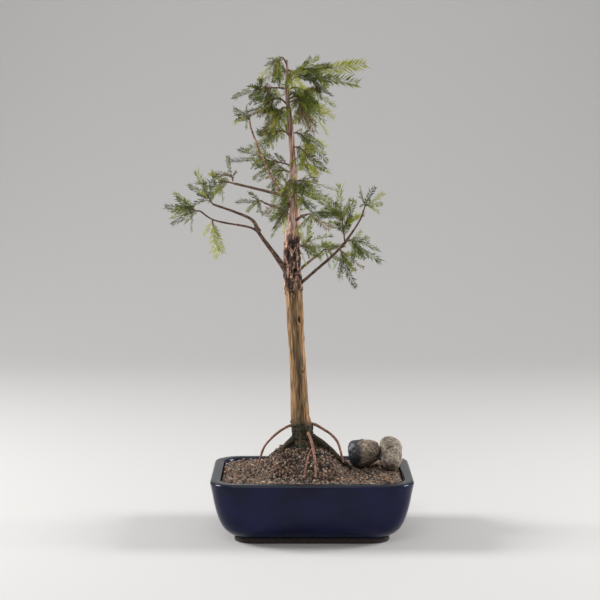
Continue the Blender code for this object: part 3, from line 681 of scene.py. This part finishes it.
def limb_radii(path, limb, collar):
    """Radii that shrink along a limb, with a collar where it leaves what bears it and swollen knots."""
    radii = taper(len(path), limb.foot_radius, limb.tip_radius)
    run = 0.0
    made = []
    for index, radius in enumerate(radii):
        if index:
            run += (path[index] - path[index - 1]).length
        swell = 1 + collar * math.exp(-run / (COLLAR_REACH * limb.foot_radius))
        swell += KNOT_SWELL * noise.noise(path[index] * KNOT_FINENESS)
        made.append(radius * swell)
    made[-1] *= LIMB_TIP_SHARE
    return made


def trunk_at(height):
    """The trunk's centre and radius at a height."""
    height = min(max(height, TRUNK_STATIONS[0].height), TRUNK_STATIONS[-1].height)
    for low, high in zip(TRUNK_STATIONS, TRUNK_STATIONS[1:]):
        if height <= high.height:
            break
    share = (height - low.height) / (high.height - low.height)
    return [a + (b - a) * share for a, b in zip(low[1:], high[1:])]


def smooth_trunk_at(height):
    """The trunk's centre and radius, rounded where the measured stations meet."""
    near = [trunk_at(height + shift) for shift in (-TRUNK_SMOOTHING, 0, 0, TRUNK_SMOOTHING)]
    return [sum(values) / len(near) for values in zip(*near)]


def bark_lift(x, y, height, radius):
    """How far the trunk's bark stands out: long fibres with cracks, and loose plates where it is rough."""
    def streaks(across, along, shift):
        return noise.noise(Vector((x * across, y * across, height * along + shift)))

    fibres = streaks(*FIBRES)
    cracks = math.exp(-(fibres / CRACK_WIDTH) ** 2)
    lift = 0.5 + 0.6 * fibres + 0.42 * streaks(*STRANDS) - 0.42 * cracks
    rough = band(height, ROUGH_ZONE)
    if rough > 0:
        plate = PLATE_STEPS * streaks(*PLATES) % 1.0
        lift += rough * (2.1 * plate - 0.85 + 0.8 * streaks(*FLAKES))
    return lift * min(radius / FULL_RELIEF, 1.0)


def scar_lift(angle, height, radius):
    """The dent and raised lip of each knot or scar."""
    lift = 0.0
    for scar in SCARS:
        across = math.radians(apart(angle, scar.angle)) * radius / scar.width
        along = (height - scar.height) / scar.tall
        distance = math.hypot(across, along)
        if distance < SCAR_REACH:
            lift -= scar.depth * math.exp(-(distance ** 2) * SCAR_SHARPNESS)
            lift += SCAR_LIP * math.exp(-((distance - LIP_PLACE) / LIP_WIDTH) ** 2)
    return lift


def add_trunk(shape):
    """The trunk with its flare of rounded ridges and the relief of its bark."""
    foot = TRUNK_GROUND - TRUNK_BURIED
    count = round((TRUNK_TIP - foot) / TRUNK_STEP)
    points = []
    relief = []
    for level in range(count + 1):
        height = foot + (TRUNK_TIP - foot) * level / count
        x, y, radius = smooth_trunk_at(height)
        if level == count:
            radius *= TRUNK_TIP_SHARE
        flare = math.exp(-max(height - TRUNK_GROUND, -2.0) / FLARE_HEIGHT)
        for index in range(TRUNK_SIDES):
            degrees = 360.0 * index / TRUNK_SIDES
            wide = radius
            for direction, size in FLARE_RIDGES:
                wide += size * flare * math.exp(-(apart(degrees, direction) / RIDGE_WIDTH) ** 2)
            turn = math.radians(degrees)
            lift = bark_lift(wide * math.cos(turn), wide * math.sin(turn), height, radius)
            lift += scar_lift(degrees, height, radius)
            wide += lift
            points.append(around(x, y, wide, turn, height))
            relief.append(min(max(0.5 + 0.45 * lift, 0.0), 1.0))
    shape.add(points, loft_faces(count + 1, TRUNK_SIDES), 0, relief)


def bark_finish():
    """Tan fibrous bark, then dark plates, then pink bark up to the tip, with moss at the collar."""
    made = Finish("bark_peeling", (0.24, 0.14, 0.08), 0.86)
    height = made.axis("Z")
    fibre = made.noise((900.0, 900.0, 55.0), 5.0)
    patch = made.noise((120.0, 120.0, 30.0), 3.0, 4.0)
    plates = made.noise((300.0, 300.0, 105.0), 5.0, 7.0)

    lean = made.maths("MULTIPLY", made.maths("SUBTRACT", height, LEAN_START), LEAN_SLOPE)
    aside = made.maths("ADD", made.maths("ADD", lean, made.axis("X")), STRIP_PLACE)
    strip = made.maths("SUBTRACT", 1.0, made.span(made.maths("ABSOLUTE", aside, 0.0), *STRIP_EDGE))
    strip = made.maths("MULTIPLY", strip, STRIP_STRENGTH)
    base = made.mix(strip, made.ramp(fibre, *TAN_BARK), made.ramp(fibre, *SHADED_BARK))

    uneven = made.maths("MULTIPLY", made.maths("SUBTRACT", patch, 0.5), RAGGEDNESS)
    ragged = made.maths("ADD", height, uneven)
    base = made.mix(made.span(ragged, *PLATES_START), base, made.ramp(plates, *PLATE_BARK))
    base = made.mix(made.span(ragged, *PINK_START), base, made.ramp(fibre, *PINK_BARK))
    fading = made.maths("SUBTRACT", 0.42, made.span(ragged, *TINGE_END))
    tinge = made.maths("MULTIPLY", made.span(patch, 0.5, 0.64), fading)
    base = made.mix(made.maths("MAXIMUM", tinge, 0.0), base, GREEN_TINGE)
    # Painted shade in the hollows of the bark and painted light on its ridges
    base = made.shade_hollows(base, *BARK_HOLLOW_SHADE)

    collar = made.maths("ADD", height, made.maths("MULTIPLY", patch, 0.016))
    mossy = made.maths("SUBTRACT", 1.0, made.span(collar, *COLLAR_END))
    moss = made.ramp(made.noise(700.0), *COLLAR_MOSS)
    made.colour(made.mix(made.maths("MULTIPLY", mossy, 0.9), base, moss))
    made.bump(made.noise((1500.0, 1500.0, 240.0), 5.0, 2.0), 0.55, 0.0006)
    return made


def limb_finish(name):
    """Thin bark on a bough, twig or root, streaked and slightly rough."""
    dark, middle, pale = LIMB_TINTS[name]
    made = Finish(name, middle, 0.78)
    base = made.ramp(made.noise(420.0), (0.32, dark), (0.5, middle), (0.7, pale))
    # Painted shade in the hollows of the thin bark, by the relief kept with each point
    made.colour(made.shade_hollows(base, (0.2, (0.45, 0.42, 0.4)), (0.6, (1.0, 1.0, 1.0))))
    made.bump(made.noise(1400.0, 4.0, 6.0), 0.4, 0.0004)
    return made


def needle_finish(name, colour):
    """A soft, slightly waxy needle in one tint."""
    made = Finish(name, colour, 0.58, Specular_IOR_Level=0.18)
    tone = made.noise(260.0, 2.0)
    made.colour(made.ramp(tone, (0.35, scaled(colour, 0.78)), (0.65, scaled(colour, 1.22))))
    return made


def grit_finish(name, colour):
    """A grain of crushed stone or baked clay."""
    made = Finish(name, colour, 0.93, Specular_IOR_Level=0.25)
    speck = made.noise(1300.0, 3.0)
    made.colour(made.ramp(speck, (0.32, scaled(colour, 0.62)), (0.68, scaled(colour, 1.35))))
    made.bump(speck, 0.5, 0.0004)
    return made


def stem_point(mass, share):
    """A point on the arched stem of a mass, which leaves room for the spray at its tip."""
    reach = Vector(mass.reach)
    stem_share = max(1 - mass.spray * TIP_SPRAY_SHARE / reach.length, LEAST_STEM_SHARE)
    lift = 4 * mass.arch * share * (1 - share)
    return Vector(mass.start) + reach * stem_share * share + UP * lift


def stem_line(mass):
    """The points of a mass's stem."""
    return [stem_point(mass, step / STEM_STEPS) for step in range(STEM_STEPS + 1)]


def level_side(way):
    """The level direction square to a way, also where the way stands upright."""
    return unit(way.cross(UP) + Vector((0, 1e-3, 0)))


def side_direction(tangent, face, side, degrees):
    """A direction that leaves a twig at an angle, to one side in the plane of the flat foliage."""
    across = Matrix.Rotation(math.radians(face), 3, tangent) @ level_side(tangent)
    angle = math.radians(degrees)
    return unit(tangent * math.cos(angle) + across * side * math.sin(angle))


def spray_at(seat, face, hang, rng):
    """A spray on its seat: where it starts, its direction, its flat side, its length and its bend."""
    base, along, length = seat
    along = unit(along - UP * (hang * rng.uniform(*HANG_SHARES)))
    turn = math.radians(face + rng.gauss(0, SPRAY_SCATTER))
    normal = Matrix.Rotation(turn, 3, along) @ level_side(along).cross(along)
    return base, along, unit(normal), length, SPRAY_DROOP * rng.uniform(*DROOP_SHARES)


def grow(mass, rng):
    """The side twigs of a mass and the seats of its sprays, by the crown's one rule of growth."""
    reach = Vector(mass.reach)

    def angle():
        return mass.spread * rng.uniform(*ANGLE_SHARES)

    def size(shares):
        return mass.spray * rng.uniform(*shares)

    tip = stem_point(mass, 1.0)
    tip_way = unit(Vector(mass.start) + reach - tip)
    twigs = []
    side = rng.choice((-1, 1))
    lower = stem_point(mass, rng.uniform(*LOWER_SEAT))
    seats = [
        (tip, tip_way, mass.spray),
        (lower, side_direction(tip_way, mass.face, side, angle()), size(LOWER_SIZES)),
    ]
    for index in range(mass.twigs):
        side = -side
        place = (index + rng.uniform(*PLACE_SHARES)) / mass.twigs
        share = TWIG_ZONE[0] + (TWIG_ZONE[1] - TWIG_ZONE[0]) * place
        base = stem_point(mass, share)
        tangent = unit(stem_point(mass, share + 0.05) - base)
        way = side_direction(tangent, mass.face + rng.gauss(0, TWIG_SCATTER), side, angle())
        length = reach.length * TWIG_SHARE * rng.uniform(*TWIG_LENGTHS)
        end = base + way * length - UP * (mass.hang * TWIG_SAG * length)
        middle = base.lerp(end, 0.5) + UP * (TWIG_ARCH * length)
        twigs.append((base, middle, end))
        onward = unit(end - base)
        turned = side_direction(onward, mass.face, rng.choice((-1, 1)), angle())
        seats.append((end, onward, size(END_SIZES)))
        seats.append((middle, turned, size(MIDDLE_SIZES)))
    return twigs, seats


def finer_seats(mass, twigs, rng):
    """Smaller sprays between the main ones, on both sides of the stem and of each twig."""
    seats = []
    size = min(mass.spray, LARGEST_FINE)
    side = rng.choice((-1, 1))
    for line in [through(stem_line(mass), 1.0)] + [through(twig, 1.0) for twig in twigs]:
        first = len(line) * FINE_START
        count = int(len(line) * FINE_RUN / FINE_PITCH)
        for index in range(count):
            at = min(int(first + (index + rng.uniform(*PLACE_SHARES)) * FINE_PITCH), len(line) - 2)
            tangent = unit(line[at + 1] - line[at])
            side = -side
            spread = max(mass.spread, LEAST_SPREAD) * rng.uniform(*FINE_SPREADS)
            way = side_direction(tangent, mass.face + rng.gauss(0, FINE_SCATTER), side, spread)
            seats.append((line[at], way, size * rng.uniform(*FINE_SIZE)))
    return seats


def spray_spot(spray, share):
    """A point on a spray's bending midrib."""
    base, along, _, length, bend = spray
    return base + along * (length * share) - UP * (bend * length * share * share)


def has_room(spray, mass, limbs):
    """True where a spray stays in its mass's space and off the trunk and boughs."""
    reach = Vector(mass.reach)
    middle = Vector(mass.start) + reach / 2
    radius = reach.length / 2 + SPACE_MARGIN * mass.spray
    for share in TESTED_SHARES:
        spot = spray_spot(spray, share)
        if (spot - middle).length > radius:
            return False
        x, y, trunk_radius = trunk_at(spot.z)
        if math.hypot(spot.x - x, spot.y - y) < trunk_radius + LIMB_CLEARANCE:
            return False
        if limbs.find_nearest(spot)[3] < LIMB_CLEARANCE:
            return False
    return True


def add_needle(shape, base, way, across, length, width, kind):
    """One needle: a narrow lance, folded along its midrib."""
    middle = base + way * (NEEDLE_MIDDLE * length)
    rise = way.cross(across) * (NEEDLE_FOLD * width)
    half = across * (width / 2)
    points = [base, middle + half + rise, middle, middle - half + rise, base + way * length]
    shape.add(points, [(0, 1, 2), (0, 2, 3), (1, 4, 2), (2, 4, 3)], kind)


def add_spray(needles, twigs, spray, kind, rng):
    """A flat spray: a thin curved midrib with a rank of needles along each side."""
    _, along, normal, length, _ = spray
    across = normal.cross(along)
    curl = rng.gauss(0, CURL)

    def spot_at(share):
        return spray_spot(spray, share) + across * (curl * length * share * share)

    half_width = min(length * SPRAY_WIDTH / 2, LONGEST_NEEDLE)
    count = max(round(length / NEEDLE_PITCH), FEWEST_NEEDLES)
    for index in range(count):
        share = FIRST_NEEDLE + NEEDLE_RUN * index / (count - 1)
        spot = spot_at(share)
        wave = math.sin(math.pi * (OUTLINE_START + OUTLINE_RUN * share))
        width = half_width * wave ** BLUNTNESS
        for side in (1, -1):
            lean = math.radians(NEEDLE_LEAN - LEAN_FALL * share + rng.gauss(0, LEAN_SPREAD))
            way = along * math.cos(lean) + across * (side * math.sin(lean))
            way = unit(way + normal * rng.gauss(*NEEDLE_LIFT))
            flat = unit(normal.cross(way))
            size = width / math.sin(max(lean, LEAST_LEAN)) * rng.uniform(*NEEDLE_LENGTHS)
            thick = NEEDLE_WIDTH * rng.uniform(*NEEDLE_WIDTHS)
            add_needle(needles, spot, way, flat, size, thick, kind)
    size = half_width * LAST_SIZE
    add_needle(needles, spot_at(LAST_NEEDLE), along, across, size, NEEDLE_WIDTH, kind)
    path = [spot_at(share) for share in RACHIS_SHARES]
    add_tube(twigs, path, taper(len(path), *RACHIS_RADII), RACHIS_SIDES, GREEN)


def add_mass(needles, twigs, name, limbs):
    """One mass of foliage: its stem and side twigs, its main sprays, and finer ones between them."""
    mass = Mass(*MASSES[name])
    weights = OWN_WEIGHTS.get(name, TINT_WEIGHTS)
    rng = random.Random(mass.seed)
    fine = random.Random(mass.seed + FINE_SEED)
    side_twigs, seats = grow(mass, rng)
    stem = through(stem_line(mass), TWIG_STEP)
    add_tube(twigs, stem, taper(len(stem), *STEM_RADII), STEM_SIDES, PLAIN, 0.1)
    for twig in side_twigs:
        path = through(twig, TWIG_STEP)
        add_tube(twigs, path, taper(len(path), *TWIG_RADII), TWIG_SIDES, PLAIN, 0.06)

    def add_tinted(spray):
        tint = fine.choices(range(len(TINTS)), weights)[0]
        add_spray(needles, twigs, spray, tint, fine)

    for seat in seats:
        tries = [spray_at(seat, mass.face, mass.hang, rng) for _ in range(SPRAY_TRIES)]
        fitting = [spray for spray in tries if has_room(spray, mass, limbs)]
        for spray in fitting[:1]:
            add_tinted(spray)
    for seat in finer_seats(mass, side_twigs, fine):
        *spray, bend = spray_at(seat, mass.face + fine.gauss(0, FINE_TURN), mass.hang, fine)
        spray = (*spray, bend * FINE_DROOP)
        if has_room(spray, mass, limbs):
            add_tinted(spray)


def make_foliage(limbs):
    """Every region of the crown as one piece of needles and one of twigs."""
    tints = [needle_finish(*tint) for tint in TINTS.items()]
    barks = [limb_finish("bark_twig"), limb_finish("bark_green_twig")]
    for region, starts in REGIONS.items():
        needles = Shape()
        twigs = Shape()
        masses = [name for name in MASSES if name.startswith(starts)]
        names = ["foliage_" + name for name in masses]
        for name in masses:
            add_mass(needles, twigs, name, limbs)
        leaves = needles.piece("needles_" + region, tints, smooth=False)
        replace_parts(leaves, *names)
        twigs.piece("twigs_" + region, barks)


def add_limb(shape, limb, bark, kind=PLAIN):
    """A bough or root in its bark."""
    path = through(limb.path, bark.step)
    radii = limb_radii(path, limb, bark.collar)
    add_tube(shape, path, radii, bark.sides, kind, bark.rough, bark.grain)


def make_wood():
    """The trunk, boughs and roots; returns a search tree over the boughs."""
    trunk = Shape()
    add_trunk(trunk)
    for limb in RIDGE_ROOTS.values():
        add_limb(trunk, limb, RIDGE_BARK)
    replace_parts(trunk.piece("trunk_bark", [bark_finish()]), "trunk", *RIDGE_ROOTS)

    boughs = Shape()
    for name, limb in BOUGHS.items():
        add_limb(boughs, limb, BOUGH_BARK, PALE if name == PALE_BOUGH else PLAIN)
    barks = [limb_finish("bark_bough"), limb_finish("bark_pale")]
    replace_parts(boughs.piece("bough_bark", barks), *BOUGHS)

    roots = Shape()
    for limb in ROOTS.values():
        add_limb(roots, limb, ROOT_BARK)
    thin_roots = roots.piece("thin_roots", [limb_finish("bark_root")])
    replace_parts(thin_roots, "root_left", "root_right", "root_front")
    return BVHTree.FromPolygons(boughs.points, boughs.faces)


def make_moss():
    """Small dark tufts that roughen the collar and the two ridges of root."""
    rng = random.Random(MOSS_SEED)
    forms, faces = grain_forms(rng, MOSS_FORMS)
    moss = Shape()
    spots = []
    for _ in range(MOSS_COUNT):
        height = rng.triangular(*MOSS_HEIGHTS)
        x, y, radius = trunk_at(height)
        turn = rng.uniform(0, math.tau)
        wide = radius + MOSS_FLARE * math.exp(-(height - TRUNK_GROUND) / FLARE_HEIGHT)
        spots.append(around(x, y, wide, turn, height))
    for limb in RIDGE_ROOTS.values():
        path = through(limb.path, RIDGE_BARK.step)
        for centre in path[BARE_STEPS:]:
            turn = rng.uniform(0, math.tau)
            way = Vector((0, math.cos(turn), math.sin(turn)))
            spots.append(centre + way * limb.foot_radius * MOSS_ON_ROOT)
    for spot in spots:
        size = rng.uniform(*MOSS_SIZES)
        spin = random_turn(rng)
        kind = rng.choices(range(len(MOSS_TINTS)), MOSS_WEIGHTS)[0]
        moss.add([spot + spin @ (point * size) for point in rng.choice(forms)], faces, kind)
    finishes = [grit_finish(*tint) for tint in MOSS_TINTS.items()]
    moss.piece("collar_moss", finishes, smooth=False)


def soil_height(x, y):
    """The height of the grit: level by the wall, rising to a mound round the trunk."""
    distance = math.dist((x, y), MOUND_CENTRE)
    share = eased(MOUND_RADIUS - distance, 0.0, MOUND_RADIUS - MOUND_FLAT)
    return SOIL_LEVEL + (MOUND_TOP - SOIL_LEVEL) * share


def pot_outline(inset):
    """The pot's rounded outline moved in by a distance: its corners' radius and how far out they turn."""
    corner = POT_CORNER - CORNER_SHRINK * inset
    return corner, POT_LENGTH / 2 - inset - corner, POT_DEPTH / 2 - inset - corner


def is_in_well(x, y, inset):
    """True inside the pot's outline, moved in by a distance."""
    corner, half_x, half_y = pot_outline(inset)
    return math.hypot(max(abs(x) - half_x, 0.0), max(abs(y) - half_y, 0.0)) < corner


def grain_forms(rng, count):
    """A few angular grain shapes, as unit points and faces."""
    work = bmesh.new()
    bmesh.ops.create_icosphere(work, subdivisions=1, radius=1.0)
    ball = [vertex.co.copy() for vertex in work.verts]
    faces = [tuple(vertex.index for vertex in face.verts) for face in work.faces]
    work.free()
    forms = []
    for _ in range(count):
        stretch = Vector([rng.uniform(*shares) for shares in GRAIN_STRETCHES])
        forms.append([point * stretch * rng.uniform(*GRAIN_CORNERS) for point in ball])
    return forms, faces


def make_grit():
    """The loose grit: layers of angular grains in mixed tints over the soil."""
    rng = random.Random(GRAIN_SEED)
    forms, faces = grain_forms(rng, GRAIN_FORMS)
    grit = Shape()
    for pitch, small, large, lift in GRAIN_LAYERS:
        columns = int(POT_LENGTH / pitch)
        rows = int(POT_DEPTH / pitch)
        for row, column in itertools.product(range(rows), range(columns)):
            x = (column + rng.uniform(*GRAIN_PLACES)) * pitch - POT_LENGTH / 2
            y = (row + rng.uniform(*GRAIN_PLACES)) * pitch - POT_DEPTH / 2
            size = rng.uniform(small, large) * rng.uniform(*GRAIN_SIZES)
            turn = random_turn(rng)
            distance = math.dist((x, y), MOUND_CENTRE)
            is_shaded = rng.random() > eased(distance, *SHADED_RADIUS)
            weights = SHADED_WEIGHTS if is_shaded else GRIT_WEIGHTS
            kind = rng.choices(range(len(GRIT_TINTS)), weights)[0]
            form = rng.choice(forms)
            if distance < BARE_RADIUS or not is_in_well(x, y, WALL_GAP):
                continue
            height = soil_height(x, y) + lift + rng.uniform(-GRAIN_SCATTER, GRAIN_SCATTER)
            centre = Vector((x, y, height))
            grit.add([centre + turn @ (point * (size / 2)) for point in form], faces, kind)
    finishes = [grit_finish(*tint) for tint in GRIT_TINTS.items()]
    grit.piece("grit_grains", finishes, smooth=False)
    under = Finish("grit_shade", (0.07, 0.045, 0.032), 0.95)
    speck = under.noise(420.0)
    under.colour(under.ramp(speck, (0.35, (0.03, 0.02, 0.015)), (0.65, (0.13, 0.085, 0.06))))
    under.bump(speck, 0.8, 0.001)
    dress(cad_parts["soil"].data, under)


def carved_stone(node, name, finish, relief):
    """A stone from its solid, made finer and given a broken, pitted surface."""
    work = bmesh.new()
    work.from_mesh(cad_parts[node].data)
    bmesh.ops.remove_doubles(work, verts=work.verts, dist=1e-6)
    coarse = bpy.data.meshes.new(name + "_coarse")
    work.to_mesh(coarse)
    work.free()
    made = placed(name, coarse)
    finer = made.modifiers.new("finer", "SUBSURF")
    finer.levels = STONE_FINENESS
    finer.render_levels = STONE_FINENESS
    evaluated = made.evaluated_get(bpy.context.evaluated_depsgraph_get())
    mesh = bpy.data.meshes.new_from_object(evaluated)
    made.modifiers.clear()
    made.data = mesh
    normals = [vertex.normal.copy() for vertex in mesh.vertices]
    lifts = []
    for vertex, normal in zip(mesh.vertices, normals):
        spot = vertex.co / MM
        lift = sum(height * noise.noise(spot * fineness) for height, fineness in STONE_NOISES)
        vertex.co += normal * (lift * relief * MM)
        lifts.append(0.5 + 0.4 * lift)
    keep_relief(mesh, lifts)
    dress(mesh, finish)
    shade(mesh)
    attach(made, "root")
    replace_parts(made, node)


def make_stones():
    """The dark stone, its smooth left half painted blue-black as shade and its other half rough tan, and
    the lumpy pale one.
    """
    dark = Finish("stone_shaded_side", (0.1, 0.09, 0.08), 0.7)
    uneven = dark.maths("MULTIPLY", dark.noise(90.0), 0.022)
    # Painted shade: left of this edge the stone is painted blue-black, right of it rough tan
    share = dark.span(dark.maths("ADD", dark.axis("X"), uneven), *SHADED_SIDE_EDGE)
    speck = dark.noise(520.0, 5.0)
    base = dark.mix(share, dark.ramp(speck, *SHADED_SIDE_STONE), dark.ramp(speck, *ROUGH_STONE))
    # Painted shade in the stone's pits, by the relief kept with each point
    dark.colour(dark.shade_hollows(base, (0.15, (0.35, 0.33, 0.32)), (0.6, (1.05, 1.05, 1.05))))
    dark.roughness(share, 0.42, 0.92)
    dark.bump(speck, 0.45, 0.0008)
    carved_stone("stone_dark", "stone_shaded_side", dark, 0.9)

    pale = Finish("stone_lumpy", (0.28, 0.23, 0.18), 0.92)
    speck = pale.noise(430.0, 5.0)
    base = pale.ramp(speck, *PALE_STONE)
    # Painted shade in the pale stone's pits, by the relief kept with each point
    pale.colour(pale.shade_hollows(base, (0.15, (0.3, 0.28, 0.26)), (0.6, (1.05, 1.05, 1.05))))
    pale.bump(speck, 0.6, 0.001)
    carved_stone("stone_pale", "stone_lumpy", pale, 1.3)


def rounded_rectangle(inset, height):
    """A level ring of points, the pot's outline moved in by a distance."""
    corner, half_x, half_y = pot_outline(inset)
    ring = []
    for quarter, (side_x, side_y) in enumerate(((1, 1), (-1, 1), (-1, -1), (1, -1))):
        for step in range(CORNER_STEPS + 1):
            angle = math.pi / 2 * (quarter + step / CORNER_STEPS)
            ring.append(around(side_x * half_x, side_y * half_y, corner, angle, height))
    return ring


def make_pot():
    """The glazed body with its thick rim, whose top is painted with a pale sheen, and the bare clay foot
    under it, painted darker as shade.
    """
    glaze = Finish("navy_glaze", (0.006, 0.008, 0.03), 0.14, Specular_IOR_Level=0.2)
    pool = glaze.noise((26.0, 26.0, 40.0), 3.0)
    speck = glaze.noise(260.0, 3.0, 5.0)
    navy = glaze.ramp(pool, (0.3, (0.003, 0.0036, 0.019)), (0.7, (0.006, 0.008, 0.044)))
    flecks = glaze.maths("MULTIPLY", glaze.span(speck, 0.62, 0.72), 0.3)
    navy = glaze.mix(flecks, navy, (0.012, 0.015, 0.06))
    # Painted reflection: the rim's top face is tinted pale grey-green for the sheen of the backdrop on the
    # glaze
    rim = glaze.span(glaze.axis("Z"), 0.0612, 0.064)
    glaze.colour(glaze.mix(glaze.maths("MULTIPLY", rim, 0.55), navy, (0.024, 0.03, 0.024)))
    glaze.roughness(pool, 0.1, 0.2)
    glaze.bump(glaze.noise(45.0, 2.0, 3.0), 0.05, 0.001)
    inside = [Vector(point) for point in GLAZE_INSIDE]
    rings = [rounded_rectangle(*point) for point in through(GLAZE_OUTSIDE, GLAZE_STEP) + inside]
    sides = len(rings[0])
    body = Shape()
    body.add([point for ring in rings for point in ring], loft_faces(len(rings), sides)[1:-1])
    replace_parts(body.piece("pot_glaze", [glaze]), "pot")

    # The foot is dark clay, painted darker still as painted shade under the overhanging body
    clay = Finish("bare_clay_painted_shade", (0.055, 0.036, 0.028), 0.85)
    speck = clay.noise(500.0)
    clay.colour(clay.ramp(speck, (0.35, (0.012, 0.009, 0.008)), (0.66, (0.04, 0.028, 0.024))))
    clay.bump(speck, 0.4, 0.0005)
    rings = [rounded_rectangle(*point) for point in FOOT_PROFILE]
    foot = Shape()
    foot.add([point for ring in rings for point in ring], loft_faces(len(rings), sides))
    foot.piece("pot_foot", [clay])


def make_stage():
    """A plain pale sweep under and behind the pot, soft studio light and the camera."""
    scene = bpy.context.scene
    outline = [(SWEEP_FRONT, 0.0)]
    for step in range(SWEEP_STEPS + 1):
        turn = math.pi / 2 * step / SWEEP_STEPS
        outline.append((SWEEP_BACK + SWEEP_CURVE * math.sin(turn), SWEEP_CURVE * (1 - math.cos(turn))))
    outline.append((SWEEP_BACK + SWEEP_CURVE, SWEEP_TOP))
    points = [Vector((side, y, z)) for y, z in outline for side in (-SWEEP_SIDE, SWEEP_SIDE)]
    faces = [(2 * i, 2 * i + 1, 2 * i + 3, 2 * i + 2) for i in range(len(outline) - 1)]
    mesh = bpy.data.meshes.new("sweep")
    mesh.from_pydata(points, [], faces)
    shade(mesh)
    dress(mesh, Finish("pale_sweep", (0.52, 0.51, 0.5), 0.85))
    sweep = placed("sweep", mesh)
    for name, (place, power, size) in LIGHTS.items():
        lamp = placed(name, bpy.data.lights.new(name, "AREA"))
        lamp.data.energy = power
        lamp.data.size = size
        lamp.location = place
        lamp.rotation_euler = (Vector(place) - Vector(LIGHT_AIM)).to_track_quat("Z", "Y").to_euler()
    scene.world = bpy.data.worlds.new("studio")
    scene.world.use_nodes = True
    background = scene.world.node_tree.nodes["Background"]
    background.inputs["Color"].default_value = (1.0, 1.0, 1.0, 1.0)
    background.inputs["Strength"].default_value = WORLD_STRENGTH
    scene.view_settings.view_transform = "Standard"
    camera = placed("camera", bpy.data.cameras.new("camera"))
    camera.data.sensor_width = SENSOR_WIDTH
    camera.data.lens = CAMERA_LENS
    camera.location = CAMERA_PLACE
    camera.rotation_euler = (math.radians(90.0 - CAMERA_PITCH), 0.0, 0.0)
    scene.camera = camera


make_stage()
make_foliage(make_wood())
make_moss()
make_grit()
make_stones()
make_pot()
